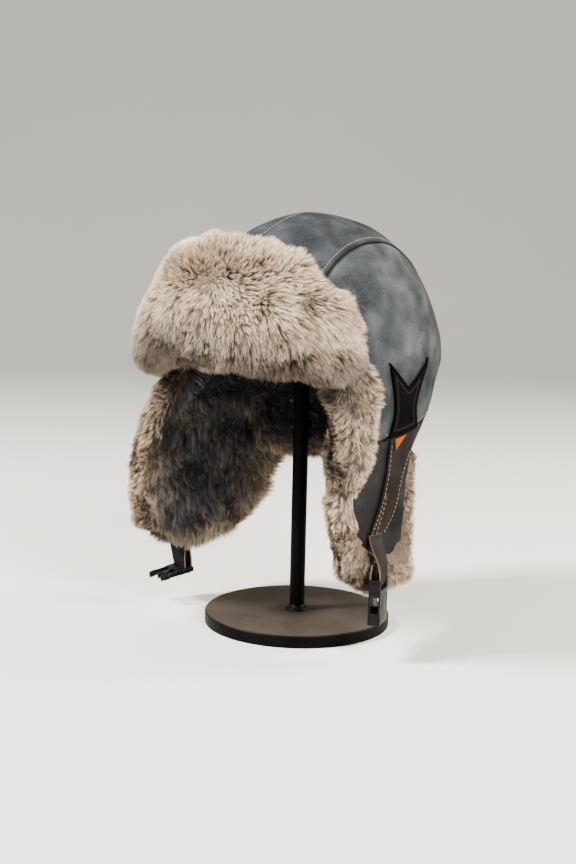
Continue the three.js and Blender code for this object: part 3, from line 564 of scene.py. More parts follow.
@dataclass(frozen=True)
class Leather:
    """Dark leather whose cut edges show tan."""

    name: str = "dark_leather"
    face: Colour = srgb(5, 6, 8)
    worn: Colour = srgb(13, 13, 15)
    edge: Colour = srgb(96, 80, 62)
    rough: float = 0.62
    shine: float = 0.06

    def material(self) -> Material:
        """Pebbled grain, worn lighter on its heights, with the mark rim for cut edges."""
        s = Shader(self.name)
        cells = {"Vector": s.place(), "Scale": 1 / (1.1 * MM), "Randomness": 1.0}
        pebble = s.node("ShaderNodeTexVoronoi", {"feature": "F1"}, cells, "Distance")
        crease = s.noise(7, 4, 0.6)
        wear = s.noise(18, 3, 0.6)
        tone = s.mix(wear.between(0.4, 0.7), self.face, self.worn)
        tone = s.mix(pebble.between(0.1, 0.6) * 0.4, tone, self.face)
        tone = s.mix(s.mark("rim"), tone, self.edge)
        rough = crease * 0.25 + (self.rough - 0.12)
        normal = s.relief(crease * 1.2 - pebble * 0.6, 0.35, 0.8)
        return s.finish(tone, rough, normal, shine=self.shine)


@dataclass(frozen=True)
class Moulded:
    """Black moulded plastic or a powder coat, with a fine skin."""

    name: str
    colour: Colour
    rough: float
    skin: float
    depth: float
    shine: float = 0.5
    painted_sheen: Colour | None = None

    def material(self) -> Material:
        """An even colour under a fine pebbled skin, with a painted warm reflection where it is marked."""
        s = Shader(self.name)
        skin = s.noise(self.skin, 2, 0.5)
        haze = s.noise(30, 3, 0.6)
        paler = tuple(min(c * 1.6 + 0.001, 1) for c in self.colour)
        tone = s.mix(haze.between(0.35, 0.75), self.colour, paler)
        if self.painted_sheen is not None:
            # Painted reflection: a warm sheen in patches on the marked top.
            painted_sheen_patches = s.noise(24, 4, 0.7).between(0.1, 0.75) * 0.45 + 0.55
            tone = s.mix(s.mark("dusty") * painted_sheen_patches, tone, self.painted_sheen)
        rough = haze * 0.16 + (self.rough - 0.08)
        return s.finish(tone, rough, s.relief(skin, self.depth, 0.6), shine=self.shine)


@dataclass(frozen=True)
class Thread:
    """Twisted sewing thread."""

    name: str
    light: Colour
    dark: Colour

    def material(self) -> Material:
        """Two tones in strands finer than a stitch."""
        s = Shader(self.name)
        ply = s.noise(0.5, 2, 0.5)
        tone = s.mix(ply.between(0.35, 0.65), self.dark, self.light)
        return s.finish(tone, 0.8, s.relief(ply, 0.2), shine=0.08)


@dataclass(frozen=True)
class Woven:
    """A small woven tag with nothing on it."""

    warp: Colour = srgb(140, 72, 12)
    weft: Colour = srgb(108, 48, 6)

    def material(self) -> Material:
        """Crossed threads from two sets of waves."""
        s = Shader("woven_tag")
        threads = {"Vector": s.place(), "Scale": 420}
        ribs, picks = (
            s.node("ShaderNodeTexWave", {"wave_type": "BANDS", "bands_direction": way}, threads, "Fac")
            for way in "YZ"
        )
        weave = ribs * picks
        tone = s.mix(weave.between(0.1, 0.7), self.weft, self.warp)
        return s.finish(tone, 0.85, s.relief(weave, 0.2), shine=0.05)


@dataclass(frozen=True)
class Paper:
    """The pale floor."""

    colour: Colour = srgb(178, 178, 177)

    def material(self) -> Material:
        """An even pale sheet with the faintest cloud."""
        s = Shader("pale_floor")
        greyer = tuple(c * 0.97 for c in self.colour)
        return s.finish(s.mix(s.noise(400, 2, 0.5), self.colour, greyer), 0.9)


# The pattern that the cap is cut to


@dataclass(frozen=True)
class HeadForm:
    """The head form that every layer follows, in millimetres.

    Below its widest level its plan is a superellipse in each quarter, which flares at the
    flaps and tucks in at the nape. Above it, a dome closes over the same plan.
    """

    half_width: float = 93
    front: float = 116
    back: float = 112
    centre_y: float = 12
    widest_z: float = 215
    dome_height: float = 115
    dome_roundness: float = 1.95
    roundness: float = 2.15
    left_flare: float = -1
    right_flare: float = 15
    flap_squareness: float = 2.6
    nape_tuck: float = 0.42
    nape_roundness: float = 1.55
    flare_drop: float = 95

    def plan(self, side: Array, z: Array, ahead: Array, inset: float) -> tuple[Array, ...]:
        """The quarter of the plan that directions lie in: its half width, length and power.

        Args:
            side: positive on the left ear's side, negative on the other.
            z: the level.
            ahead: positive in front of the upright axis, negative behind it.
            inset: how far inside the form the plan lies.
        """
        drop = np.clip((self.widest_z - z) / self.flare_drop, 0, 1.25)
        flare = drop * np.where(np.asarray(side) > 0, self.left_flare, self.right_flare)
        before = self.roundness + self.flap_squareness * smoothstep(drop, 0, 1)
        behind = lerp(self.roundness, self.nape_roundness, smoothstep(drop, 0.3, 0.8))
        back = self.back * (1 - self.nape_tuck * drop)
        length = np.where(ahead > 0, self.front, back) - inset
        return self.half_width + flare - inset, length, np.where(ahead > 0, before, behind)

    def radius(self, angle: Array, z: Array, inset: float = 0) -> Array:
        """The wall's radius from the upright axis; angle 0 is the front, a quarter turn the left ear."""
        across, ahead = np.sin(angle), np.cos(angle)
        half, length, n = self.plan(across, z, ahead, inset)
        total = (np.abs(across) / half) ** n + (np.abs(ahead) / length) ** n
        return total ** (-1 / n)

    def spot(self, angle: Array, r: Array, z: Array) -> Array:
        """Points in plan directions, at distances from the upright axis."""
        return np.stack([r * np.sin(angle), self.centre_y - r * np.cos(angle), z + 0 * r], axis=-1)

    def wall(self, angle: Array, z: Array, inset: Array | float) -> Array:
        """Points of the upright wall, at an inset from it."""
        return self.spot(angle, self.radius(angle, z, inset), z)

    def at_level(self, angle: Array, z: Array, inset: float = 0) -> Array:
        """Points of the form at a level, on its dome or its wall."""
        rise = np.clip((z - self.widest_z) / (self.dome_height - inset), 0, 0.999)
        share = (1 - rise**2) ** (1 / self.dome_roundness)
        return self.spot(angle, self.radius(angle, np.minimum(z, self.widest_z), inset) * share, z)

    def hem_y(self, angle: Array, inset: float = 0) -> Array:
        """How far back the form's widest level lies in a plan direction."""
        return self.centre_y - self.radius(angle, self.widest_z + 0 * angle, inset) * np.cos(angle)

    def side_wall(self, side: Side, y: Array, z: Array, depth: Array | float = 0) -> Array:
        """Points of a side wall at side-view places, moved out from the mid plane by a depth."""
        ahead = self.centre_y - y
        half, length, n = self.plan(side.value, np.minimum(z, self.widest_z), ahead, 0)
        share = np.minimum(np.abs(ahead) / length, 0.95)
        x = half * (1 - share**n) ** (1 / n) + depth
        return np.stack([side.value * x, y, z], axis=-1)

    def depth(self, p: Array) -> Array:
        """A field that is 1 on the form, and more outside it."""
        x, z, ahead = p[..., 0], p[..., 2], self.centre_y - p[..., 1]
        half, length, n = self.plan(x, np.minimum(z, self.widest_z), ahead, 0)
        wall = ((np.abs(x) / half) ** n + (np.abs(ahead) / length) ** n) ** (1 / n)
        rise = np.maximum(z - self.widest_z, 0) / self.dome_height
        return np.where(z > self.widest_z, rise**2 + wall**self.dome_roundness, wall)

    def cast(self, origin: Array, way: Array) -> Array:
        """Where rays from inside meet the form, by halving the stretch that holds the meeting."""
        near = np.zeros(way.shape[:-1])
        far = near + 280
        for _ in range(34):
            middle = (near + far) / 2
            outside = self.depth(origin + way * middle[..., None]) > 1
            far = np.where(outside, middle, far)
            near = np.where(outside, near, middle)
        return origin + way * near[..., None]

    def outward(self, p: Array) -> Array:
        """The form's outward direction at points: the slope of its depth field."""
        steps = np.eye(3) * 0.4
        slope = [self.depth(p + s) - self.depth(p - s) for s in steps]
        return unit(np.stack(slope, axis=-1))


FORM = HeadForm()
SUEDE_THICKNESS = 2.0
GAP = 0.3
SEAM_SHADE = 1.3
PATCH_THICKNESS = 1.6

SUEDE_EDGE = {
    Side.LEFT: np.array([
        (-190, 226), (-62, 217), (-44, 200), (-46, 178), (-53, 150), (-60, 122), (-59, 96), (-44, 74),
        (-20, 61), (14, 60), (29, 72), (33, 96), (34, 118), (46, 129), (190, 131),
    ], float),
    Side.RIGHT: np.array([
        (-190, 226), (-62, 217), (-58, 200), (-63, 178), (-70, 150), (-75, 122), (-70, 96), (-52, 74),
        (-26, 63), (6, 64), (22, 76), (31, 96), (38, 116), (50, 129), (190, 131),
    ], float),
}
CROSS_SEAM = np.array([(-190, 148), (-80, 152), (-27, 158), (10, 165), (60, 172), (190, 175)], float)
NAPE_FRONT_Y = 46.0
FLAP_WINDOW = {
    Side.LEFT: np.array([
        (-27, 260), (-29, 206), (-34, 180), (-44, 150), (-48, 120), (-43, 96), (-31, 81), (-12, 72),
        (4, 72), (14, 83), (17, 104), (21, 128), (37, 144), (190, 147), (190, 260),
    ], float),
    Side.RIGHT: np.array([
        (-27, 260), (-29, 206), (-38, 180), (-52, 150), (-59, 120), (-53, 96), (-38, 81), (-16, 74),
        (0, 75), (11, 87), (19, 106), (28, 128), (44, 144), (190, 147), (190, 260),
    ], float),
}


def cross_seam_z(y: Array) -> Array:
    """The cross seam's height at a place from front to rear."""
    return smooth_table(CROSS_SEAM, y)


def brow_z(y: Array) -> Array:
    """The crown's front hem."""
    edge = SUEDE_EDGE[Side.LEFT]
    return np.interp(y, edge[:2, 0], edge[:2, 1])


def nape_z(y: Array) -> Array:
    """The nape's hem."""
    return np.interp(y, [46, 190], [129, 131])


def level_line(angles: Array, height_at: Callable[[Array], Array]) -> Array:
    """Points on the form in given plan directions, at the height that is given for their y."""
    z = np.full(len(angles), 200.0)
    for _ in range(12):
        z = height_at(FORM.at_level(angles, z)[:, 1])
    return FORM.at_level(angles, z)


def on_form(p: Array) -> Array:
    """Points pushed out or drawn in to the form, along rays from the heart of the crown."""
    heart = np.array([0, FORM.centre_y, 190.0])
    return FORM.cast(heart, unit(p - heart))


def drape(p: Array) -> Array:
    """How far the suede swells or sinks at a place, away from any edge."""
    return Ripple(62, 11).at(p) * 0.35 + Ripple(23, 12).at(p) * 0.12


def patch_between(bottom: Array, top: Array, left: Array, right: Array) -> Array:
    """A four-sided Coons patch: the two ruled surfaces added, less the one through the corners.

    Args:
        bottom, top: opposite edges, with a row for each step of the first parameter.
        left, right: the other two from bottom to top, a row for each step of the second.
    """
    u = np.linspace(0, 1, len(bottom))[:, None, None]
    v = np.linspace(0, 1, len(left))[None, :, None]
    up = lerp(bottom[:, None], top[:, None], v)
    over = lerp(left[None], right[None], u)
    corners = lerp(lerp(bottom[0], bottom[-1], u), lerp(top[0], top[-1], u), v)
    return up + over - corners


def edge_distance(p: Array) -> Array:
    """How far each point of a patch is from its nearest edge, along its two parameters."""
    nearest = np.full(p.shape[:2], 1e9)
    for axis in (0, 1):
        steps = np.linalg.norm(np.diff(p, axis=axis), axis=2)
        along = np.concatenate([np.zeros_like(steps.take([0], axis)), steps.cumsum(axis)], axis)
        total = along.take([-1], axis)
        if total.max() > 0:
            reach = np.minimum(along, total - along)
            nearest = np.where(total > 1, np.minimum(nearest, reach), nearest)
    return nearest


def plan_angle(p: Array) -> float:
    """The plan direction of a point, from the front by the left ear round to the rear."""
    return math.atan2(p[0], FORM.centre_y - p[1])


def sewn_panel(name: str, p: Array, puff: float, dip: float, darkened: bool) -> Object:
    """A suede panel, dipping at its edges and puffed beside them.

    Args:
        name: its name.
        p: a grid of points on the form.
        puff: how far it swells beside its seams.
        dip: how deep a seam draws it in.
        darkened: whether its lower part is marked for painted shade.
    """
    reach, out = edge_distance(p), FORM.outward(p)
    swell = puff * bump(reach, 4.0, 2.6) - dip * bump(reach, 0, 1.1) + drape(p)
    p = (p + out * swell[..., None]).reshape(-1, 3)
    # Marks for painted shade: along the seams, and low on the crown where asked.
    marks = {"seam": bump(reach, 0, SEAM_SHADE).ravel()}
    if darkened:
        marks["low"] = smoothstep(-p[:, 2], -228.0, -180.0)
    made = mesh_object(name, p, facing(p, grid_faces(*reach.shape), out.reshape(-1, 3)), marks)
    thicken(made, SUEDE_THICKNESS)
    return made


@dataclass(frozen=True)
class Crown:
    """The crown's three suede panels, their seams, and the nape below them.

    Args:
        seam_half: half the distance between the two seams over the crown's middle.
        seam_taper: how fast the seams close in to the rear.
        puff: how far a panel swells beside its seams.
        dip: how deep a seam draws its panels in.
    """

    seam_half: float = 56
    seam_taper: float = 0.1
    puff: float = 0.45
    dip: float = 1.1

    def seam(self, side: Side, count: int, inward: float = 0) -> Array:
        """A panel seam from the brow over the crown to the nape.

        Rays fan out in a plane at the seam's distance from the mid plane, less inward.
        """
        heart_y, heart_z = FORM.centre_y, 200.0
        low, high = 0.1, math.pi + 0.2
        y = np.full(count, heart_y)
        for _ in range(8):
            angles = np.linspace(low, high, count)
            x = side.value * (self.seam_half - self.seam_taper * y - inward)
            origin = np.stack([x, 0 * x + heart_y, 0 * x + heart_z], axis=1)
            way = np.stack([0 * x, -np.cos(angles), np.sin(angles)], axis=1)
            p = FORM.cast(origin, way)
            y = p[:, 1]
            low = math.atan2(brow_z(y[0]) - heart_z, heart_y - y[0])
            high = math.atan2(cross_seam_z(y[-1:])[0] - heart_z, heart_y - y[-1]) % (2 * math.pi)
        return p

    def skin(self, name: str, corners: tuple[Array, ...]) -> Object:
        """One panel: a Coons patch laid on the form."""
        return sewn_panel(name, on_form(patch_between(*corners)), self.puff, self.dip, True)

    def centre(self) -> Object:
        """The strip from the brow over the crown to the nape."""
        along, across = crowded(120), 44
        left = resampled(self.seam(Side.LEFT, 300), along)
        right = resampled(self.seam(Side.RIGHT, 300), along)
        front = np.linspace(plan_angle(left[0]), plan_angle(right[0]), 200)
        rear = np.linspace(plan_angle(left[-1]), plan_angle(right[-1]) % (2 * math.pi), 200)
        hem = resampled(level_line(front, brow_z), crowded(across))
        foot = resampled(level_line(rear, cross_seam_z), crowded(across))
        return self.skin("crown_centre_panel", (left, right, hem, foot))

    def flank(self, side: Side) -> Object:
        """A side panel: from its front edge back to where both its seams meet."""
        count, high = 96, 42
        rows = SUEDE_EDGE[side][4:0:-1]
        z = np.linspace(cross_seam_z(rows[:1, 0])[0], rows[-1, 1], 60)
        y = smooth_table(rows[:, ::-1], z)
        front = resampled(FORM.side_wall(side, y, z), crowded(high))
        seam = self.seam(side, 300)
        turn = 2 * math.pi if side is Side.RIGHT else 0.0
        low = np.linspace(plan_angle(front[0]) + turn, plan_angle(seam[-1]) + turn, 200)
        brow = np.linspace(plan_angle(front[-1]), plan_angle(seam[0]), 60)
        bottom = resampled(level_line(low, cross_seam_z), crowded(count))
        top = resampled(np.concatenate([level_line(brow, brow_z)[:-1], seam]), crowded(count))
        rear = np.repeat(seam[-1:], high, axis=0)
        return self.skin(f"crown_side_{side.word}", (bottom, top, front, rear))

    def nape(self) -> Object:
        """The band below the cross seam round the back."""
        angles = np.linspace(math.pi / 2, 3 * math.pi / 2, 400)

        def between_ends(height_at: Callable[[Array], Array]) -> Array:
            """The part of a level line that lies behind the ear flaps."""
            line = level_line(angles, height_at)
            ends = angles[line[:, 1] >= NAPE_FRONT_Y + GAP / 2][[0, -1]]
            return level_line(np.linspace(*ends, 300), height_at)

        low = resampled(between_ends(nape_z), crowded(90))
        high = resampled(between_ends(cross_seam_z), crowded(90))
        rise = np.linspace(0, 1, 60)[:, None]
        ends = [resampled(lerp(low[k], high[k], rise), crowded(22)) for k in (0, -1)]
        return self.skin("nape_panel", (low, high, ends[0], ends[1]))

    def build(self, suede: Material, dark: Material) -> None:
        """Makes the crown's panels, the centre one in a darker copy of the suede that paints shade over
        the top, and the nape.
        """
        dress(self.centre(), dark, "suede", "crown_centre_panel")
        for side in Side:
            dress(self.flank(side), suede, "suede", f"crown_side_{side.word}")
        dress(self.nape(), suede, "suede", "nape_panel")


@dataclass(frozen=True)
class HatStand:
    """The plain stand: a foot disc, a post welded to it, and a head out of sight.

    The disc's edges are rounded with the radius base_edge. The weld's bead has a size, and as
    many ripples as weld_beads, of a height.
    """

    base_radius: float = 75
    base_height: float = 10
    base_edge: float = 1.9
    post_radius: float = 6.2
    weld: float = 2.6
    weld_beads: int = 26
    bead_height: float = 0.35

    @staticmethod
    def turned(profile: Array, sides: int, sway: Array | float = 0) -> Shape:
        """Rows of radius and height carried round the upright axis, with sway added to the radius."""
        turn = full_turn(sides)
        radius = np.maximum(profile[:, :1] + 0 * turn + sway, 0)
        height = np.repeat(profile[:, 1:], sides, axis=1)
        p = np.stack([radius * np.cos(turn), radius * np.sin(turn), height], axis=-1)
        return p.reshape(-1, 3), grid_faces(len(profile), sides, shut=True)

    @staticmethod
    def rounded_corner(radius: float, height: float, edge: float, start: float) -> Array:
        """A quarter turn of profile about a point one edge radius in from a corner."""
        turn = np.radians(np.linspace(start, start + 90, 7))
        middle = np.array([radius, height])
        return middle + edge * np.stack([np.cos(turn), np.sin(turn)], axis=1)

    def foot_and_post(self, post_top: float) -> Shape:
        """The disc, the weld's rippled bead and the post as one turned body."""
        r, t, e, p = self.base_radius, self.base_height, self.base_edge, self.post_radius
        lower = self.rounded_corner(r - e, e * 0.6, e, -90)
        lower[:, 1] = np.maximum(lower[:, 1], 0)
        upper = self.rounded_corner(r - e, t - e, e, 0)
        bead = self.rounded_corner(p, t, self.weld, 0)
        profile = np.concatenate([
            [[0, 0], [r - 2 * e, 0]],
            lower,
            upper,
            [[r * 0.7, t], [r * 0.4, t], [p + self.weld + 1.5, t]],
            bead,
            [[p, t + 6], [p, post_top / 2], [p, post_top - 1], [p - 1, post_top], [0, post_top]],
        ])
        sides = 144
        turn = full_turn(sides)
        beads = bump(profile[:, 1], t + 1.3, 1.2) * bump(profile[:, 0], p + 2, 1.4)
        sway = beads[:, None] * self.bead_height * np.abs(np.sin(self.weld_beads / 2 * turn))
        return self.turned(profile, sides, sway)

    def head(self, low: float, high: float, radius: float) -> Shape:
        """The plain dome under the crown's lining, an arc between two heights."""
        share = np.linspace(1, 0, 14)
        fall = (1 - np.sqrt(1 - 0.9 * share**2)) / (1 - math.sqrt(0.1))
        arc = np.stack([radius * share, lerp(high, low + 6, fall)], axis=1)
        return self.turned(np.concatenate([[[0, low], [radius - 4, low], [radius, low + 4]], arc]), 72)

    def build(self, coat: Material, plastic: Material) -> None:
        """Makes the stand and its head, at the heights that the frame gives."""
        p, f = self.foot_and_post(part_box("stand")[1][2] / MM)
        # The disc's top, away from the post, is marked for a painted warm reflection.
        dusty = bump(p[:, 2], self.base_height, 0.4) * smoothstep(p[:, 0]**2 + p[:, 1]**2, 60, 200)
        made = mesh_object("stand", p, facing(p, f, p - [0, 0, 5]), {"dusty": dusty})
        dress(made, coat, "steel", "stand")
        low, high = (np.array(c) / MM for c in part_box("stand_head"))
        p, f = self.head(low[2], high[2], high[1])
        made = mesh_object("stand_head", p, facing(p, f, p - (low + high) / 2))
        dress(made, plastic, "plastic", "stand_head")


# Fur


@dataclass(frozen=True)
class Coat:
    """How the strands of a pad grow.

    Args:
        strands: how many there are.
        root: the share of the pad's depth at which they leave the wool.
        reach: how far past the pad's face a tuft's tip stands.
        width: a strand's width half-way.
        tuft, lock: the usual distance between two tufts, and between two locks of tufts.
        gather: how far a strand's tip is drawn to its tuft's.
        contrast: how much darker the strands are painted half-way between two tufts, as painted shade in
            the gaps.
        stray, sway: how far a strand's tip strays by itself, and how far locks wander.
        seed: the seed of the random draws.
    """

    strands: int
    root: float = 0.66
    reach: float = 1.0
    width: float = 0.44
    tuft: float = 3.2
    gather: float = 0.6
    contrast: float = 0.5
    stray: float = 0.6
    lock: float = 10.0
    sway: float = 1.8
    seed: int = 1


class FurPad:
    """A pad of fur: every place on it has a point at its core and one at its outer face.

    Attributes:
        grid: the steps of its parameters.
        wool: the share of its depth that the wool fills, with lumps of a height.
        bend: the share of a strand's length at which it bends.
        stiffness: how far it is upright up to there.
        scattered: how far a tuft's tip strays, as a share of the distance between tufts.
        shorter: how much less a strand stands out than its tuft's tip.
        lock_share: how far a tuft's tip is drawn to its lock's.
        dim_coolness, dim_shade: how much painted inner shade and how much darker a strand is painted where
            the pad is dim.
        warm_streaks: how far streaks take a strand's painted inner shade away.
        uneven: how much darker a strand can be than its neighbour.
        hang: how far the comb carries a strand's tip down.
    """

    grid = (90, 40)
    wool = 0.82
    lumps = 1.0
    bend = 0.42
    stiffness = 0.6
    scattered = 0.16
    shorter = 1.2
    lock_share = 0.2
    dim_coolness = 0.4
    dim_shade = 0.35
    warm_streaks = 0.32
    uneven = 0.35
    hang = 0.0

    def core(self, u: Array, v: Array) -> Array:
        """The pad's core at two parameters between 0 and 1."""
        raise NotImplementedError

    def outer(self, u: Array, v: Array) -> Array:
        """The pad's outer face at the same parameters."""
        raise NotImplementedError

    def cool(self, u: Array, v: Array) -> Array:
        """How much painted shade a place gets for lying inside the cap, 0 outside and 1 deep inside."""
        return np.zeros_like(u)

    def dim(self, u: Array, v: Array) -> Array:
        """How far a place lies in the shade of its neighbours, 0 to 1."""
        return np.zeros_like(u)

    def keep(self, u: Array, v: Array) -> Array:
        """The share of strands that a place keeps."""
        return np.ones_like(u)

    def lay(self, u: Array, v: Array, p: Array) -> Array:
        """How far the comb carries a strand's tip at a place, in millimetres."""
        return p * 0 + [0, 0, -self.hang]

    def cells(self) -> tuple[Array, ...]:
        """The parameters of the outer face's grid, and the area of each of its cells."""
        nu, nv = self.grid
        u, v = share_grid(nu, nv)
        p = self.outer(u, v).reshape(nu, nv, 3)
        du, dv = p[1:, :-1] - p[:-1, :-1], p[:-1, 1:] - p[:-1, :-1]
        return u.reshape(nu, nv), v.reshape(nu, nv), np.linalg.norm(np.cross(du, dv), axis=-1)

    def scatter(self, count: int, rng: np.random.Generator) -> tuple[Array, Array]:
        """Random places, evenly dense over the outer face where it keeps its strands."""
        u, v, area = self.cells()
        middle_u = (u[1:, 1:] + u[:-1, :-1]) / 2
        middle_v = (v[1:, 1:] + v[:-1, :-1]) / 2
        weight = area * self.keep(middle_u.ravel(), middle_v.ravel()).reshape(area.shape)
        cell = rng.choice(area.size, count, p=(weight / weight.sum()).ravel())
        rows, columns = area.shape
        i, j = np.divmod(cell, columns)
        return (i + rng.random(count)) / rows, (j + rng.random(count)) / columns

    def area(self) -> float:
        """The outer face's area that keeps its strands, in square millimetres."""
        u, v, area = self.cells()
        return float((area * self.keep(u[1:, 1:].ravel(), v[1:, 1:].ravel()).reshape(area.shape)).sum())

    def undercoat(self) -> tuple[Array, ...]:
        """The wool as a lumpy skin: its points, faces and painted inner shade."""
        nu, nv = (int(steps * 1.3) for steps in self.grid)
        u, v = np.meshgrid(np.linspace(0, 1, nu), np.linspace(0, 1, nv, endpoint=False), indexing="ij")
        u, v = u.ravel(), v.ravel()
        inner, outer = self.core(u, v), self.outer(u, v)
        way = outer - inner
        lumps = self.lumps * (0.9 * Ripple(8, 31).at(outer) + 0.5 * Ripple(3.6, 32).at(outer))
        p = inner + way * self.wool + unit(way) * lumps[:, None]
        q, faces = shut_tube(p.reshape(nu, nv, 3))
        cool = self.cool(u, v).reshape(nu, nv)
        cool = np.concatenate([cool[:1], cool, cool[-1:]]).ravel()
        return q, facing(q, faces, q - q.mean(axis=0)), cool

    def combed(self, coat: Coat, u: Array, v: Array, height: Array) -> Array:
        """Where the comb and the locks carry a tip that stands at a height over the outer face."""
        inner, outer = self.core(u, v), self.outer(u, v)
        carried = self.lay(u, v, outer) + coat.sway * Ripple(30, coat.seed + 5).vector_at(outer)
        return outer + unit(outer - inner) * height + carried

    def tips(self, coat: Coat, apart: float, rng: np.random.Generator) -> tuple[Array, Array]:
        """Where tufts or locks that stand apart come to a point, and the places on the face below."""
        count = max(int(self.area() / apart**2), 8)
        u, v = self.scatter(count, rng)
        tip = self.combed(coat, u, v, rng.normal(coat.reach, 0.7, (count, 1)))
        return tip + rng.normal(size=tip.shape) * apart * self.scattered, self.outer(u, v)

    def strands(self, coat: Coat) -> tuple[Array, ...]:
        """The bare strands as bent blades, pointed at both ends.

        Each strand leaves the wool along the line from the core to the outer face. Its tip
        is drawn to the tip of the nearest tuft, which the comb, a smooth random field and
        its lock carry sideways, and its middle lags behind, so that the strand bends.

        Returns:
            Points, triangles, and the OFBake map of painted inner shade and place along the strand.
        """
        rng = np.random.default_rng(coat.seed)
        u, v = self.scatter(coat.strands, rng)
        inner, outer = self.core(u, v), self.outer(u, v)
        tuft_tip, tuft_at = self.tips(coat, coat.tuft, rng)
        lock_tip, lock_at = self.tips(coat, coat.lock, rng)
        tuft_tip = lerp(tuft_tip, lock_tip[nearest_of(tuft_at, lock_at)], self.lock_share)
        count = coat.strands
        own_tip = self.combed(coat, u, v, rng.normal(coat.reach - self.shorter, 1.0, (count, 1)))
        pull = coat.gather * rng.uniform(0.3, 1.3, (count, 1))
        tuft = nearest_of(outer, tuft_at)
        tip = lerp(own_tip, tuft_tip[tuft], pull) + rng.normal(size=own_tip.shape) * coat.stray
        root = lerp(inner, outer, coat.root)
        bend = self.bend
        straight = root + unit(outer - inner) * np.linalg.norm(tip - root, axis=1)[:, None] * bend
        middle = lerp(straight, lerp(root, tip, bend), 1 - self.stiffness)
        across = unit(np.cross(tip - root, rng.normal(size=tip.shape)))
        half = coat.width / 2 * rng.uniform(0.75, 1.25, (count, 1))
        points = np.stack([root, middle - across * half, middle + across * half, tip], axis=1)
        blade = np.array([(0, 2, 1), (1, 2, 3)])
        faces = (np.arange(count)[:, None, None] * 4 + blade).reshape(-1, 3)
        streak = Ripple(7, coat.seed + 9).at(outer * [1, 1, 0.35])
        dim = self.dim(u, v)
        # Painted shade inside the cap and in dim places.
        cool = np.maximum(self.cool(u, v), self.dim_coolness * dim)
        cool = cool * (1 - self.warm_streaks * np.maximum(streak, 0)) + rng.normal(size=count) * 0.08
        # Painted shade: strands are darker away from their tuft, in the gaps between tufts, and where the
        # pad is dim.
        aside = np.linalg.norm(outer - tuft_at[tuft], axis=1) / coat.tuft
        shade = np.clip(1 - coat.contrast * (aside - 0.3), 0.4, 1)
        shade *= 1 - self.uneven * rng.random(count) ** 1.6
        shade *= 1 - self.dim_shade * dim
        along = np.array([0.0, bend, bend, 1.0])
        cool = np.repeat(np.clip(cool, 0, 1)[:, None], 4, axis=1)
        uv = np.stack([cool, shade[:, None] * along], axis=-1)
        return points.reshape(-1, 3), faces, uv.reshape(-1, 2)


def nearest_of(points: Array, centres: Array) -> Array:
    """Which centre is nearest to each point, from |p|^2 - 2pc + |c|^2 a few thousand at a time."""
    found = np.empty(len(points), int)
    lengths = (centres**2).sum(axis=1)
    for start in range(0, len(points), 4000):
        part = points[start:start + 4000]
        found[start:start + 4000] = (lengths - 2 * part @ centres.T).argmin(axis=1)
    return found


class BrimPad(FurPad):
    """The turned-up front brim, from one temple to the other."""

    grid = (110, 46)
    rows = np.array([
        (-66, 212, 240, 14), (-60, 210, 262, 22), (-52, 209, 282, 28), (-42, 209, 293, 32),
        (-31, 211, 297, 33), (-23, 218, 300, 35), (-15, 226, 303, 36), (-7, 230, 305, 37),
        (2, 229, 305, 37), (9, 223, 304, 37), (17, 221, 301, 37), (25, 220, 297, 37),
        (33, 217, 291, 37), (40, 213, 284, 36), (46, 210, 276, 34), (50, 211, 269, 31),
        (54, 216, 260, 26), (58, 223, 247, 16),
    ], float)
    section = np.array([
        (0.0, 0.09, -0.07), (0.04, 0.04, -0.06), (0.08, -0.01, 0.06), (0.12, 0.0, 0.22),
        (0.17, 0.06, 0.44), (0.24, 0.15, 0.6), (0.36, 0.3, 0.76), (0.52, 0.5, 0.9), (0.7, 0.75, 1.0),
        (0.82, 0.9, 0.96), (0.9, 1.0, 0.62), (0.95, 1.04, 0.34), (1.0, 0.96, 0.04),
    ])
    inner_step = 0.4
    comb = 8.0
    parting = (-0.08, 279.0)
    spread = (0.45, 17.0)
    hem = 223.0
    stand = 0.15
    stand_rise = 80.0

    def face(self, angle: Array, z: Array, out: Array | float) -> Array:
        """A point of the brim, out from its inner face, which stands up almost straight."""
        rise = np.maximum(z - self.hem, 0) / self.stand_rise
        r = FORM.radius(angle, FORM.widest_z + 0 * angle) * (1 - self.stand * rise**1.5)
        return FORM.spot(angle, r + self.inner_step + out, z)

    def station(self, u: Array) -> tuple[Array, ...]:
        """The angle, foot, top and pile at a share of the way from right to left."""
        degrees = lerp(self.rows[0, 0], self.rows[-1, 0], u)
        foot, top, pile = (smooth_table(self.rows, degrees, k) for k in (1, 2, 3))
        return np.radians(degrees), foot, top, pile

    def outer(self, u: Array, v: Array) -> Array:
        """The section's height and depth are read along v and carried round the brow."""
        angle, foot, top, pile = self.station(u)
        down, out = smooth_table(self.section, v), smooth_table(self.section, v, 2)
        return self.face(angle, lerp(top, foot, down), SUEDE_THICKNESS + GAP + pile * out)

    def core(self, u: Array, v: Array) -> Array:
        """A curtain near the backing, drawn in from the top, the foot and both ends."""
        angle, foot, top, _ = self.station(u)
        down = np.clip(smooth_table(self.section, v), 0, 1)
        drawn = lerp(-math.radians(58), math.radians(50), u)
        high = top - np.minimum(16, (top - foot) * 0.4)
        low = foot + np.minimum(14, (top - foot) * 0.4)
        return self.face(lerp(angle, drawn, 0.9), lerp(high, low, down), 4)

    def dim(self, u: Array, v: Array) -> Array:
        """The foot is in shade, where the fur turns in under the hem."""
        return smoothstep(v, 0.5, 0.84)

    def lay(self, u: Array, v: Array, p: Array) -> Array:
        """The fur is combed away from a level parting, up, down and to both ends."""
        angle, _, _, _ = self.station(u)
        across = (angle - self.parting[0]) / self.spread[0]
        rise = (p[:, 2] - self.parting[1]) / self.spread[1]
        flow = self.comb / np.sqrt(1 + across**2 + rise**2)
        way = [across * np.cos(angle), across * np.sin(angle), rise]
        return np.stack(way, axis=-1) * flow[:, None]


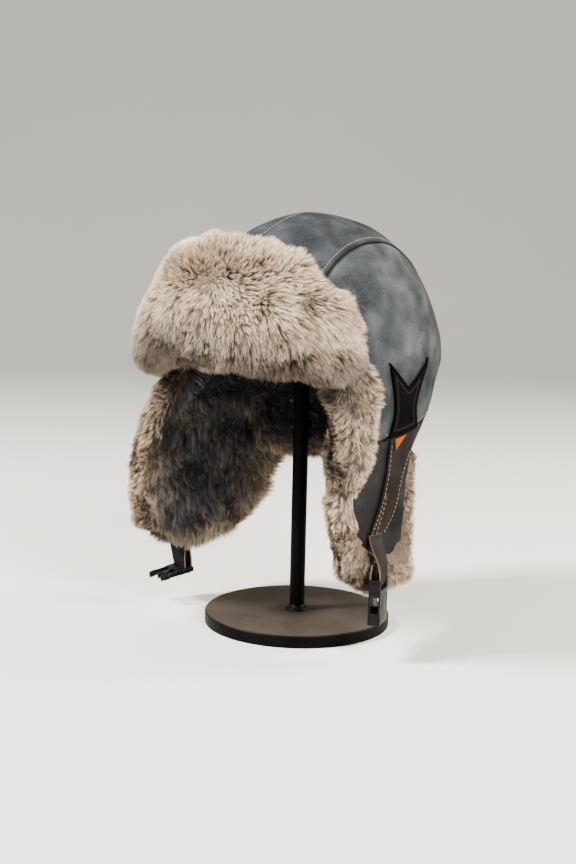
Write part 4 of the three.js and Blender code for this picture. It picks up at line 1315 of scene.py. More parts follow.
def put_fur(
    name: str,
    pads: list[tuple[FurPad, Coat]],
    slot: str,
    finishes: tuple[Material, Material],
) -> None:
    """Makes the wool and the bare strands of one or more pads.

    Args:
        name: the name of the wool and of the CAD node that it stands for.
        pads: each pad with its coat.
        slot: the material slot, passed on to dress.
        finishes: the materials of the wool and of the strands.
    """
    *shapes, cool = zip(*(pad.undercoat() for pad, _ in pads))
    points, faces = joined(list(zip(*shapes)))
    dress(mesh_object(name, points, faces, {"cool": np.concatenate(cool)}), finishes[0], slot, name)
    *shapes, uv = zip(*(pad.strands(coat) for pad, coat in pads))
    points, faces = joined(list(zip(*shapes)))
    made = mesh_object(f"{name}_strands", points, faces, uv=np.concatenate(uv))
    dress(made, finishes[1], slot)


@dataclass(frozen=True)
class EarFlaps:
    """The suede of the ear flaps, below the cross seam.

    Args:
        corners: which rows of the side outline end its front edge and its foot.
        seam_z: where its front edge meets the cross seam.
        puff, dip: as in sewn_panel.
    """

    corners: tuple[int, int] = (7, 10)
    seam_z: float = 154.6
    puff: float = 0.4
    dip: float = 0.9

    def edges(self, side: Side) -> tuple[Array, ...]:
        """The foot, cross seam, front edge and rear edge, as lines of y and z."""
        rows = SUEDE_EDGE[side]
        rear = NAPE_FRONT_Y - GAP / 2
        start = [np.interp(self.seam_z, rows[4:2:-1, 1], rows[4:2:-1, 0]), self.seam_z]
        last = [rear, np.interp(rear, rows[12:14, 0], rows[12:14, 1])]
        line = smooth_line(np.concatenate([[start], rows[4:13], [last]]), 900)
        front_end, foot_end = (np.abs(line - rows[k]).sum(axis=1).argmin() for k in self.corners)
        top_y = np.linspace(start[0], rear, 200)
        top = np.stack([top_y, cross_seam_z(top_y) - GAP / 2], axis=1)
        behind = np.concatenate([line[foot_end:], top[-1:]])
        return line[front_end:foot_end + 1], top, line[front_end::-1], behind

    def panel(self, side: Side) -> Object:
        """One flap's panel, laid on the form."""
        foot, top, front, rear = self.edges(side)
        across, up = crowded(54), crowded(64)
        edges = zip((foot, top, front, rear), (across, across, up, up))
        flat = patch_between(*(resampled(line, shares) for line, shares in edges))
        p = FORM.side_wall(side, flat[..., 0], flat[..., 1])
        return sewn_panel(f"ear_flap_{side.word}", p, self.puff, self.dip, False)

    def build(self, suede: Material) -> None:
        """Makes both flaps."""
        for side in Side:
            dress(self.panel(side), suede, "suede", f"ear_flap_{side.word}")


def on_side(side: Side, flat: Array, lift: float) -> tuple[Array, Array]:
    """Side-view points of y and z lifted off the form, and the form's outward directions there."""
    p = FORM.side_wall(side, flat[..., 0], flat[..., 1])
    p = np.where(p[..., 2:] > FORM.widest_z, on_form(p), p)
    out = FORM.outward(p)
    return p + out * (lift + drape(p))[..., None], out


@dataclass(frozen=True)
class Patch:
    """A leather patch laid on the suede of a side, cut to a side-view outline.

    Args:
        name: its name, which the side's is added to.
        foot, top: its lower and upper edges from front to rear, as y and z.
        front, rear: its other edges from foot to top.
        line_at: how far inside its edge a fine line is scored.
        bead: how high its edge is rolled.
    """

    name: str
    foot: tuple[tuple[float, float], ...]
    top: tuple[tuple[float, float], ...]
    front: tuple[tuple[float, float], ...]
    rear: tuple[tuple[float, float], ...]
    line_at: float
    bead: float

    def edges(self, counts: tuple[int, ...]) -> list[Array]:
        """Its foot and top, straight between their corners, and its curved front and rear."""
        lines = [np.array(corners, float) for corners in (self.foot, self.top, self.front, self.rear)]
        lines[2:] = [smooth_line(line, 300) for line in lines[2:]]
        return [resampled(line, np.linspace(0, 1, count)) for line, count in zip(lines, counts)]

    def outline(self) -> Array:
        """The whole outline, once round."""
        foot, top, front, rear = self.edges((60, 61, 80, 80))
        return np.concatenate([foot, rear[1:], top[-2::-1], front[-2:0:-1]])

    def panel(self, side: Side) -> Object:
        """The patch on one side, with its rolled edge and scored line."""
        flat = patch_between(*self.edges((51, 51, 70, 70)))
        points = flat.reshape(-1, 2)
        reach = distance_to_line(points, self.outline())
        p, out = on_side(side, points, GAP + PATCH_THICKNESS)
        swell = self.bead * bump(reach, 1.2, 0.9) - 0.7 * bump(reach, 0, 0.45)
        swell = swell - 0.3 * bump(reach, self.line_at, 0.6)
        p = p + out * swell[:, None]
        faces = facing(p, grid_faces(*flat.shape[:2]), out)
        marks = {"rim": bump(reach, self.line_at, 0.42), "seam": bump(reach, 0.4, 0.9)}
        made = mesh_object(f"{self.name}_{side.word}", p, faces, marks)
        thicken(made, PATCH_THICKNESS)
        return made


YOKE = Patch(
    name="ear_yoke",
    foot=((-9, 161.8), (28, 167.4)),
    top=((-9, 219), (15, 199), (42, 221)),
    front=((-9, 161.8), (-3, 186), (-9, 219)),
    rear=((28, 167.4), (26, 187), (42, 221)),
    line_at=4.4,
    bead=0.5,
)
TAB = Patch(
    name="ear_tab",
    foot=((-28, 89), (-21, 85), (-10, 86)),
    top=((-7, 160.9), (32, 166.8)),
    front=((-28, 89), (-18, 108), (-10, 134), (-7, 160.9)),
    rear=((-10, 86), (2, 104), (11, 130), (20, 152), (32, 166.8)),
    line_at=50,
    bead=0.25,
)


TAG = ((-2.6, 161.0), (-2.2, 152.4), (11.0, 163.4))
TAB_STITCHES = (
    [(-5.4, 157), (-7.6, 134), (-15.6, 108), (-25.4, 90.5)],
    [(-9.4, 118), (-14.0, 104), (-20.4, 90)],
    [(-12.0, 118.5), (-9.4, 118.5)],
    [(29, 160), (17, 147), (9, 130), (0.4, 105), (-10.5, 90)],
)
TAB_PIPING = [(-7.2, 160), (-10.2, 134), (-18.3, 108), (-28, 89.5)]


@dataclass(frozen=True)
class Sewing:
    """Topstitching: short round stitches, sunk at both ends, one in each pitch."""

    pitch: float = 3.4
    length: float = 2.3
    radius: float = 0.27

    def stitch(self) -> Shape:
        """One stitch along x: an arched capsule."""
        along = np.array([-0.5, -0.36, 0.0, 0.36, 0.5]) * self.length
        thick = np.array([0.35, 0.85, 1.0, 0.85, 0.35]) * self.radius
        lift = 0.25 * (1 - (2 * along / self.length) ** 2)
        turn = full_turn(6)
        ring = np.stack([0 * turn, np.cos(turn), np.sin(turn)], axis=1)
        rings = ring * thick[:, None, None]
        rings[..., 0] += along[:, None]
        rings[..., 2] += lift[:, None]
        return shut_tube(rings)

    def along(self, line: Array, out: Array) -> Shape:
        """Stitches along a line, lying on a surface with known outward directions."""
        length = lengths_along(line)[-1]
        count = max(int(length / self.pitch), 1)
        shares = (np.arange(count) + 0.5) / count
        at = resampled(line, shares)
        up = unit(np.stack([np.interp(shares * length, lengths_along(line), c) for c in out.T], axis=1))
        ahead = unit(resampled(line, shares + 0.4 / count) - resampled(line, shares - 0.4 / count))
        across = unit(np.cross(up, ahead))
        up = np.cross(ahead, across)
        axes = np.stack([ahead, across, up], axis=1)
        points, faces = self.stitch()
        moved = np.einsum("pj,njk->npk", points, axes) + at[:, None]
        every = faces + np.arange(count)[:, None, None] * len(points)
        return moved.reshape(-1, 3), every.reshape(-1, 4)


class Trimming:
    """The patches, topstitching, dark piping that partly stands for painted seam shadow, and the tag."""

    sewing = Sewing()

    @staticmethod
    def laid(line: Array, lift: float) -> tuple[Array, Array]:
        """A line of the form lifted off the suede's swells, and outward directions."""
        out = FORM.outward(line)
        return line + out * (lift + drape(line))[:, None], out

    def ridge_line(self) -> tuple[Array, Array]:
        """The stitched line that runs over the crown beside its middle."""
        return self.laid(Crown(seam_half=2, seam_taper=0).seam(Side.LEFT, 300), 0.1)

    def seam_line(self, side: Side, inward: float, lift: float) -> tuple[Array, Array]:
        """A line along a crown seam."""
        line = Crown().seam(side, 200, inward)
        out = FORM.outward(line)
        return line + out * lift, out

    def side_line(self, side: Side, points: list[tuple[float, float]], lift: float) -> tuple[Array, Array]:
        """A smooth side-view line laid on one side."""
        return on_side(side, smooth_line(np.array(points, float), 200), lift)

    def cross_line(self, side: Side, above: float, lift: float) -> tuple[Array, Array]:
        """A line along the cross seam of one side, and on round the nape to the mid plane."""
        angles = side.value * np.linspace(0.42 * np.pi, 1.02 * np.pi, 260)
        return self.laid(level_line(angles, lambda y: cross_seam_z(y) + above), lift)

    def threads(self) -> list[tuple[Array, Array]]:
        """Every line of stitches, with outward directions."""
        on_leather = GAP + PATCH_THICKNESS + 0.1
        lines = [self.ridge_line()]
        for side in Side:
            lines.append(self.seam_line(side, 3.0, 0.45))
            lines += [self.side_line(side, points, on_leather) for points in TAB_STITCHES]
            lines.append(self.cross_line(side, 3.6, 0.2))
        return lines

    def piping_and_shadow(self) -> list[Shape]:
        """Dark cords in the seams, partly piping and partly painted seam shadow, and along the tabs' front
        edges.
        """
        cords = []
        for side in Side:
            cords.append(tube_along(*self.seam_line(side, 0, -0.15), 0.6, 6))
            cords.append(tube_along(*self.cross_line(side, -0.3, -0.1), 0.65, 6))
            cords.append(tube_along(*self.side_line(side, TAB_PIPING, GAP + 1.2), 0.7, 6))
        return cords

    def build(self, finishes: dict[str, Material]) -> None:
        """Makes every trimming."""
        for side in Side:
            dress(YOKE.panel(side), finishes["yoke"], "leather", f"ear_yoke_{side.word}")
            dress(TAB.panel(side), finishes["tab"], "leather", f"ear_tab_{side.word}")
        stitches = joined([self.sewing.along(*line) for line in self.threads()])
        dress(mesh_object("topstitching", *stitches), finishes["thread"], "suede")
        dress(mesh_object("seam_piping_and_shadow", *joined(self.piping_and_shadow())), finishes["piping_and_shadow"], "leather")
        self.tag(finishes["tag"])

    def tag(self, woven: Material) -> None:
        """The small woven tag, folded to a triangle that hangs from the cross seam over the tab."""
        face_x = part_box("tag_left")[1][0] / MM - 0.2
        front, foot, rear = (np.array(corner) for corner in TAG)
        steps = 15
        down, across = (share[:, None] for share in share_grid(steps, steps))
        flat = lerp(lerp(front, foot, down), lerp(rear, foot, down), across)
        curl = 0.7 * np.sin(np.pi * across) * np.sin(np.pi * down)
        p = np.concatenate([face_x + curl, flat], axis=-1)
        made = mesh_object("tag_left", p, facing(p, grid_faces(steps, steps), p * [1, 0, 0]))
        thicken(made, 0.9)
        dress(made, woven, "tag", "tag_left")


# Straps and buckle


@dataclass(frozen=True)
class StrapCourse:
    """The course of one chin strap.

    Args:
        tab: where it leaves the ear tab, as y and z.
        bar: the middle of the buckle's bar.
        across: the plan direction that its width turns to, in degrees.
        over_fur: how far it bows over the fur.
    """

    tab: tuple[float, float]
    bar: tuple[float, float, float]
    across: float
    over_fur: float


COURSES = {
    Side.LEFT: StrapCourse((-23, 91), (108, -35, 60), 112, 2),
    Side.RIGHT: StrapCourse((-23, 91), (-112, -20, 28), -8, 6),
}


@dataclass(frozen=True)
class ChinStrap:
    """A leather strap from an ear tab round the buckle's bar and back up."""

    width: float = 15
    thickness: float = 1.8
    bar_radius: float = 2.1

    @property
    def reach(self) -> float:
        """How far its middle line stands from the bar's middle."""
        return self.bar_radius + GAP + self.thickness / 2

    @staticmethod
    def frame_at(side: Side, course: StrapCourse, share: Array) -> tuple[Array, Array]:
        """Its width and outward directions at shares of its way down."""
        turn = np.radians(lerp(90, course.across, smoothstep(share, 0, 1)))
        wide = np.stack([np.cos(turn), np.sin(turn), 0 * turn], axis=-1)
        thick = side.value * np.stack([np.sin(turn), -np.cos(turn), 0 * turn], axis=-1)
        return wide, thick

    def leg(self, side: Side, course: StrapCourse, share: Array) -> tuple[Array, ...]:
        """The middle line and frame of the outer leg."""
        y, z = np.array(course.tab, float)[:, None]
        lift = 2.2 * GAP + PATCH_THICKNESS + self.thickness / 2
        top = FORM.side_wall(side, y, z, lift)[0]
        hang = np.array(course.bar, float)
        wide, thick = self.frame_at(side, course, share)
        at = lerp(top, hang, smoothstep(share, 0, 0.85)[:, None])
        at[:, 2] = lerp(top[2], hang[2], share)
        at[:, 0] += side.value * course.over_fur * np.sin(np.pi * share) ** 2
        return at + thick * (self.reach * smoothstep(share, 0, 1))[:, None], wide, thick

    def course_rows(self, side: Side, course: StrapCourse) -> tuple[Array, ...]:
        """The whole middle line, down the outer leg, round the bar and up the inner leg."""
        meeting, steps = 0.9, 17
        down, wide_down, thick_down = self.leg(side, course, np.linspace(0, meeting, 26))
        wide, out = self.frame_at(side, course, np.array([1.0]))
        turn = np.linspace(0, np.pi, steps)[:, None]
        thick_round = out * np.cos(turn) - np.array([0, 0, 1.0]) * np.sin(turn)
        round_bar = np.array(course.bar) + thick_round * self.reach
        back = np.linspace(meeting, 0.6, 11)
        up, wide_up, thick_up = self.leg(side, course, back)
        apart = self.thickness + np.maximum(2 * self.reach * smoothstep(back, 0.2, 1), GAP)
        up = up - thick_up * apart[:, None]
        wides = np.concatenate([wide_down, np.repeat(wide, steps, axis=0), wide_up])
        thicks = np.concatenate([thick_down, thick_round, -thick_up])
        line = np.concatenate([down, round_bar, up])
        for _ in range(6):
            line[1:-1] = (line[:-2] + 2 * line[1:-1] + line[2:]) / 4
        return line, wides, unit(thicks)

    def band(self, side: Side) -> Object:
        """The strap, with cut edges that show tan."""
        line, wide, thick = self.course_rows(side, COURSES[side])
        half = [
            (1.0, 0.45), (0.985, 0.9), (0.9, 1.0), (0.8, 0.92), (0, 0.96), (-0.8, 0.92), (-0.9, 1.0),
            (-0.985, 0.9), (-1.0, 0.45),
        ]
        section = np.array(half + [(x, -y) for x, y in half[::-1]])
        across = wide[:, None] * (section[:, :1] * self.width / 2)
        deep = thick[:, None] * (section[:, 1:] * self.thickness / 2)
        points, faces = shut_tube(line[:, None] + across + deep)
        middles = np.concatenate([line[:1], line, line[-1:]])
        faces = facing(points, faces, points - np.repeat(middles, len(section), axis=0))
        rim = np.where(np.abs(section[:, 0]) > 0.99, 1.0, 0.0)
        return mesh_object(f"chin_strap_{side.word}", points, faces, {"rim": np.tile(rim, len(middles))})

    def build(self, leather: Material) -> None:
        """Makes both straps."""
        for side in Side:
            dress(self.band(side), leather, "leather", f"chin_strap_{side.word}")


@dataclass(frozen=True)
class Buckle:
    """The two halves of the side-release buckle, drawn hanging from a bar along x.

    The prong's rows are the share of its length and how far its outer and inner edges are
    drawn in.
    """

    width: float = 22
    thickness: float = 9
    bar_end: float = 2.6
    socket_length: float = 26
    wall: float = 1.4
    plug_body: float = 7
    prong_length: float = 18
    prong_width: float = 3.4
    plug_thickness: float = 4.6
    window_depth: float = 4
    window_top: float = 5
    window_foot: float = 9
    bar_radius: float = 2.1
    body_top: float = 5.2
    prong: tuple[tuple[float, float, float], ...] = (
        (0.0, 1, 0), (0.3, 1.4, 0), (0.52, 1.5, 0), (0.6, 0.5, 0), (0.66, 0, 0.4), (0.78, 0, 1.1),
        (0.86, 0.8, 1.5), (0.94, 1.7, 0.9), (1.0, 2.4, -0.2),
    )

    @staticmethod
    def block(low: tuple[float, ...], high: tuple[float, ...], edge: float) -> Shape:
        """A box between two corners, with rounded edges."""
        a, b = np.array(low, float), np.array(high, float)
        points, faces = rounded_box((b - a) / 2, edge)
        return points + (a + b) / 2, faces

    def bar_and_cheeks(self, thickness: float) -> list[Shape]:
        """The bar that the strap loops round, and the two cheeks that carry it."""
        half, t = self.width / 2, thickness / 2
        line = np.linspace(-half + 1, half - 1, 5)[:, None] * [1, 0, 0]
        shapes = [tube_along(line, np.tile([0, 0, 1.0], (5, 1)), self.bar_radius, 20)]
        for x in (-half, half - self.bar_end):
            low = (x, -self.body_top - 1, -t)
            shapes.append(self.block(low, (x + self.bar_end, self.bar_radius + 0.9, t), 0.9))
        return shapes

    def socket(self) -> list[Shape]:
        """The half with the mouth: a hollow collar, two face plates and a window on each side."""
        half, t, wall = self.width / 2, self.thickness / 2, self.wall
        top = -self.body_top
        foot = top - self.socket_length
        window_top, window_foot = top - self.window_top, foot + self.window_foot
        inner = half - self.window_depth
        shapes = self.bar_and_cheeks(self.thickness)
        shapes.append(self.block((-half, window_top, -t), (half, top, t), 0.9))
        for face in (-1, 1):
            near, far = sorted((face * t, face * (t - wall)))
            shapes.append(self.block((-half, foot, near), (half, window_foot + 0.6, far), 0.55))
            top_corner = (inner, window_top + 0.6, far)
            shapes.append(self.block((-inner, window_foot - 0.6, near), top_corner, 0.5))
            x0, x1 = sorted((face * half, face * (half - wall)))
            shapes.append(self.block((x0, foot, -t), (x1, window_foot, t), 0.55))
            ledge = sorted((face * half, face * inner))
            for at in (-t, t - wall):
                rail = (ledge[0], window_foot - 0.8, at), (ledge[1], window_top + 0.8, at + wall)
                shapes.append(self.block(*rail, 0.5))
        return shapes

    @staticmethod
    def loft(rows: Array, thickness: float) -> Shape:
        """A flat bar of rounded section through rows of y, middle x and half width."""
        turn = full_turn(16)
        ring = np.stack([np.cos(turn), np.sin(turn)], axis=1)
        ring = np.sign(ring) * np.abs(ring) ** 0.45
        rings = np.zeros((len(rows), len(turn), 3))
        rings[..., 0] = rows[:, 1:2] + ring[:, 0] * rows[:, 2:3]
        rings[..., 1] = rows[:, :1]
        rings[..., 2] = ring[:, 1] * thickness / 2
        return shut_tube(rings)

    def plug(self) -> list[Shape]:
        """The half with the prongs: a guide tongue between two springy catches."""
        half, t = self.width / 2, self.plug_thickness / 2
        root = -self.body_top - self.plug_body
        tip = root - self.prong_length
        w = self.prong_width
        shapes = self.bar_and_cheeks(self.plug_thickness)
        shapes.append(self.block((-half, root, -t), (half, -self.body_top, t), 0.9))
        ends = [(root + 1, 0.5), (lerp(root, tip, 0.7), 0.5), (tip + 3.6, 0.44), (tip + 3, 0.25)]
        tongue = np.array([(y, 0, w * share) for y, share in ends])
        shapes.append(self.loft(tongue, self.plug_thickness))
        share, outer, inner = np.array(self.prong).T
        for end in (-1, 1):
            x = end * (half - (outer + w + inner) / 2)
            rows = np.stack([lerp(root + 1, tip, share), x, (w + inner - outer) / 2], axis=1)
            shapes.append(self.loft(rows, self.plug_thickness))
        return shapes

    @staticmethod
    def hung(shapes: list[Shape], side: Side, down: tuple[float, float, float]) -> Shape:
        """Shapes moved to hang from the bar in a side's strap, as one."""
        course = COURSES[side]
        wide, _ = ChinStrap.frame_at(side, course, np.array([1.0]))
        x = unit(wide[0])
        z = unit(np.cross(x, -np.array(down)))
        axes = np.stack([x, np.cross(z, x), z])
        points, faces = joined([(p, facing(p, f, p - p.mean(axis=0))) for p, f in shapes])
        return points @ axes + np.array(course.bar), faces

    def build(self, plastic: Material) -> None:
        """Makes both halves."""
        halves = {
            "buckle_socket": (self.socket(), Side.LEFT, (0, 0, -1)),
            "buckle_plug": (self.plug(), Side.RIGHT, (-0.18, -0.98, -0.14)),
        }
        for name, half in halves.items():
            dress(mesh_object(name, *self.hung(*half)), plastic, "plastic", name)


# Fur of the flaps, the nape and the lining


SUNK = -5.0


def signed_window(side: Side, y: Array, z: Array) -> Array:
    """How far a side-view point lies outside the flap's bare window; negative inside it."""
    line = FLAP_WINDOW[side]
    flat = np.stack([y, z], axis=-1)
    reach = distance_to_line(flat, line)
    return np.where(inside_outline(flat, line), -reach, reach)


class SidePad(FurPad):
    """Fur about one side's wall: a lining inside, rolled round its edges as a border outside."""

    grid = (70, 60)
    bulge = 0.6
    window_blend = (-3.5, 6.5)
    bare_depth = -6.0

    def __init__(self, side: Side, table: Array, ends: tuple[float, float], windowed: bool) -> None:
        """Takes the pad's limits at its levels.

        Args:
            side: which side it is on.
            table: rows of z, front, rear, outer and inner, from its foot up.
            ends: how far each end is rounded off, foot first.
            windowed: whether the flap's bare window is kept free of it.
        """
        self.side, self.table, self.ends, self.windowed = side, table, ends, windowed

    def limits(self, u: Array) -> tuple[Array, ...]:
        """The level and the pad's limits there, drawn together at its rounded ends."""
        foot, top = self.table[0, 0], self.table[-1, 0]
        low, high = self.ends
        z = lerp(top + high, foot - low, u)
        over = np.maximum((z - top) / max(high, 1e-6), 0)
        under = np.maximum((foot - z) / max(low, 1e-6), 0)
        squeeze = np.sqrt(np.maximum(1 - over**2 - under**2, 0.0))
        inside = np.clip(z, foot, top)
        front, rear, outer, inner = (smooth_table(self.table, inside, k) for k in (1, 2, 3, 4))
        middle = (front + rear) / 2
        front, rear = lerp(middle, front, squeeze), lerp(middle, rear, squeeze)
        return z, front, rear, outer * squeeze, inner * squeeze

    def turned(self, u: Array, v: Array) -> tuple[Array, ...]:
        """Level, place from front to rear, depth and share of the way round at two parameters."""
        z, front, rear, outer, inner = self.limits(u)
        turn = 2 * np.pi * v
        y = lerp(front, rear, swing(turn))
        round_off = np.abs(np.sin(turn)) ** self.bulge
        outside = outer * round_off
        if self.windowed:
            clear = smoothstep(signed_window(self.side, y, z), *self.window_blend)
            outside = lerp(SUNK, outside, clear)
        depth = np.where(np.sin(turn) > 0, outside, -(inner + SUEDE_THICKNESS) * round_off)
        return z, y, depth, turn

    def outer(self, u: Array, v: Array) -> Array:
        """The pad's face."""
        z, y, depth, _ = self.turned(u, v)
        return FORM.side_wall(self.side, y, z, depth)

    def core(self, u: Array, v: Array) -> Array:
        """A curtain along the middle of the pad, drawn in from its edges."""
        z, front, rear, _, inner = self.limits(u)
        y = lerp(front, rear, swing(2 * np.pi * v))
        draw = np.minimum(12, (rear - front) * 0.35)
        y = np.clip(y, front + draw, rear - draw)
        foot, top = self.table[0, 0], self.table[-1, 0]
        level = np.clip(z, foot + 12 * (self.ends[0] > 0), top - 8 * (self.ends[1] > 0))
        return FORM.side_wall(self.side, y, level, -(inner * 0.25))

    def keep(self, u: Array, v: Array) -> Array:
        """Within the bare window, strands grow well inside only."""
        if not self.windowed:
            return np.ones_like(u)
        z, y, depth, turn = self.turned(u, v)
        shallow = (np.sin(turn) > 0) | (depth > self.bare_depth)
        return np.where(shallow & (signed_window(self.side, y, z) < -0.5), 0.0, 1.0)

    def cool(self, u: Array, v: Array) -> Array:
        """The inner face is painted in shade, but not its border."""
        z, _, _, turn = self.turned(u, v)
        rise = z - self.table[0, 0]
        return smoothstep(-np.sin(turn), 0.25, 0.95) * smoothstep(rise, -4, 24)

    def dim(self, u: Array, v: Array) -> Array:
        """The front half of the border is in shade under the brim and at its foot."""
        z, _, _, turn = self.turned(u, v)
        ahead = smoothstep(np.cos(turn), -0.6, 0.6)
        low = 0.8 * smoothstep(self.table[0, 0] - z, -55, -10)
        return ahead * np.maximum(smoothstep(z, 172, 200), low)

    def lay(self, u: Array, v: Array, p: Array) -> Array:
        """Fur hangs, more so inside, and outside it is combed away from the border's middle."""
        turn = 2 * np.pi * v
        inside = smoothstep(-np.sin(turn), 0, 0.6)
        rim = smoothstep(np.abs(np.cos(turn)), 0.8, 1.0)
        aside = -5.0 * np.cos(turn) * (1 - inside)
        return np.stack([0 * u, aside - 1.5 * inside, (-4.0 - 4.0 * inside) * (1 - 0.6 * rim)], axis=-1)


def side_table(rows: list[tuple[float, ...]]) -> Array:
    """A pad's table, sorted from its foot up."""
    table = np.array(rows, float)
    return table[table[:, 0].argsort()]


FLAP_PADS = {
    Side.LEFT: side_table([
        (182, -56, 66, 6, 14), (165, -62, 60, 8, 15), (150, -64, 54, 8, 16), (135, -66, 47, 8, 16),
        (120, -67, 48, 8, 16), (105, -67, 53, 9, 16), (90, -64, 55, 10, 16), (75, -58, 55, 10, 16),
        (62, -48, 51, 10, 15), (51, -33, 41, 8, 11),
    ]),
    Side.RIGHT: side_table([
        (182, -72, 66, 12, 14), (165, -82, 65, 14, 15), (150, -89, 62, 14, 16), (135, -93, 58, 13, 17),
        (120, -95, 53, 13, 17), (105, -93, 47, 12, 17), (90, -86, 42, 11, 17), (76, -74, 38, 10, 16),
        (64, -56, 33, 8, 14), (55, -36, 25, 5, 9),
    ]),
}
FLAP_ENDS = (4.0, 0.0)
TEMPLE_ENDS = (6.0, 3.0)
TEMPLE_PADS = {
    Side.LEFT: side_table([
        (128, -62, -42, 8, 14), (150, -66, -38, 11, 14), (166, -66, -33, 13, 12), (182, -61, -29, 14, 11),
        (198, -64, -27, 14, 10), (212, -66, -32, 12, 8), (220, -64, -38, 8, 5),
    ]),
    Side.RIGHT: side_table([
        (128, -90, -56, 14, 15), (150, -87, -48, 16, 14), (166, -82, -40, 18, 12), (182, -76, -34, 20, 11),
        (198, -69, -31, 18, 11), (210, -62, -33, 14, 9),
    ]),
}


class NapePad(FurPad):
    """The nape's fur: a lining inside, rolled under the hem."""

    grid = (70, 44)
    angles = np.radians([108.0, 252.0])
    top, edge, foot = 184.0, 147.0, 125.0
    inner, rolled = 16.0, 7.0
    hang = 3.5

    def at(self, u: Array, v: Array) -> tuple[Array, ...]:
        """The plan direction, level, depth and turn at two parameters."""
        angle = lerp(self.angles[0], self.angles[1], u)
        turn = 2 * np.pi * v
        z = lerp(self.top, self.foot, swing(turn))
        round_off = np.abs(np.sin(turn)) ** 0.45
        outside = lerp(SUNK, self.rolled * round_off, smoothstep(self.edge - z, -3, 7))
        return angle, z, np.where(np.sin(turn) > 0, outside, -self.inner * round_off), turn

    def outer(self, u: Array, v: Array) -> Array:
        """The pad's face."""
        angle, z, depth, _ = self.at(u, v)
        return FORM.wall(angle, z, -depth)

    def core(self, u: Array, v: Array) -> Array:
        """A curtain just inside the suede, drawn up from the hem."""
        angle, z, _, _ = self.at(u, v)
        return FORM.wall(angle, np.clip(z, self.foot + 13, self.top - 6), 4.0)

    def keep(self, u: Array, v: Array) -> Array:
        """Outside, it grows below the hem only."""
        _, z, _, turn = self.at(u, v)
        return np.where((np.sin(turn) > 0) & (z > self.edge - 1), 0.0, 1.0)

    def cool(self, u: Array, v: Array) -> Array:
        """The inner face is painted in shade."""
        _, z, _, turn = self.at(u, v)
        return smoothstep(-np.sin(turn), 0.3, 0.85) * smoothstep(z, self.foot + 4, self.foot + 22)


class BrowRoll(FurPad):
    """The lining's fur rolled out under the crown's front hem, from temple to temple."""

    grid = (80, 24)
    angles = np.radians([-60.0, 52.0])
    inner, rolled = 15.0, 7.0
    drop, climb = 9.0, 10.0
    hang = 1.0

    def at(self, u: Array, v: Array, size: float) -> Array:
        """A ring about the hem, with a share of its full size."""
        angle = lerp(self.angles[0], self.angles[1], u)
        turn = 2 * np.pi * v
        end = np.sqrt(np.clip(np.minimum(u, 1 - u) / 0.05, 0.02, 1))
        tall = np.where(np.sin(turn) > 0, self.climb, self.drop) * np.sin(turn)
        deep = lerp(-self.rolled, self.inner, swing(turn))
        middle = (self.inner - self.rolled) / 2
        z = brow_z(FORM.hem_y(angle)) + tall * size * end
        return FORM.wall(angle, np.minimum(z, 400.0), lerp(middle, deep, size * end))

    def outer(self, u: Array, v: Array) -> Array:
        """The roll's face."""
        return self.at(u, v, 1.0)

    def core(self, u: Array, v: Array) -> Array:
        """A cord along its middle."""
        return self.at(u, v, 0.15)

    def cool(self, u: Array, v: Array) -> Array:
        """It is painted half in shade outside and fully in shade inside."""
        return lerp(0.45, 1.0, smoothstep(-np.cos(2 * np.pi * v), -0.6, 0.5))


class LiningPad(FurPad):
    """The crown's fur lining: its face looks in, from the hem to the top of the dome."""

    grid = (80, 40)
    wool = 0.9
    hem = np.array([
        (-190, 228), (-62, 219), (-50, 206), (-44, 168), (-27, 159), (10, 166), (60, 173), (190, 176),
    ])
    depths = (3.6, 12.5)
    hang = 4.0

    def at(self, u: Array, v: Array, inset: float) -> Array:
        """A point under the dome, at an inset from the form."""
        angle = 2 * np.pi * u
        low = smooth_table(self.hem, FORM.hem_y(angle, 8))
        crest = FORM.widest_z + FORM.dome_height - inset
        rise = np.sin(np.pi / 2 * np.clip((v - 0.3) / 0.7, 0, 1))
        z = np.where(v < 0.3, lerp(low, FORM.widest_z, v / 0.3), lerp(FORM.widest_z, crest, rise))
        z = np.maximum(z, low)
        return FORM.at_level(angle, np.minimum(z, crest - 0.01), inset)

    def outer(self, u: Array, v: Array) -> Array:
        """The face that the head meets."""
        return self.at(u, v, self.depths[1])

    def core(self, u: Array, v: Array) -> Array:
        """The back, under the suede."""
        return self.at(u, v, self.depths[0])

    def cool(self, u: Array, v: Array) -> Array:
        """All of it is painted in shade."""
        return np.ones_like(u)

    def undercoat(self) -> tuple[Array, ...]:
        """A closed shell: back and face, joined at the hem, each shut at its pole."""
        nu, nv = 110, 40
        u = np.tile(np.linspace(0, 1, nu, endpoint=False), nv)
        v = np.repeat(np.linspace(0, 1, nv), nu)
        back, face = (self.at(u, v, depth).reshape(nv, nu, 3) for depth in self.depths)
        lumps = 1.2 * Ripple(8, 41).at(face)[..., None]
        face = face + unit(back - face) * lumps
        back[-1], face[-1] = back[-1].mean(axis=0), face[-1].mean(axis=0)
        points = np.concatenate([back[::-1], face]).reshape(-1, 3)
        faces = grid_faces(2 * nv, nu, shut=True)
        away = np.concatenate([(back - face)[::-1], face - back]).reshape(-1, 3)
        return points, facing(points, faces, away), np.ones(len(points))


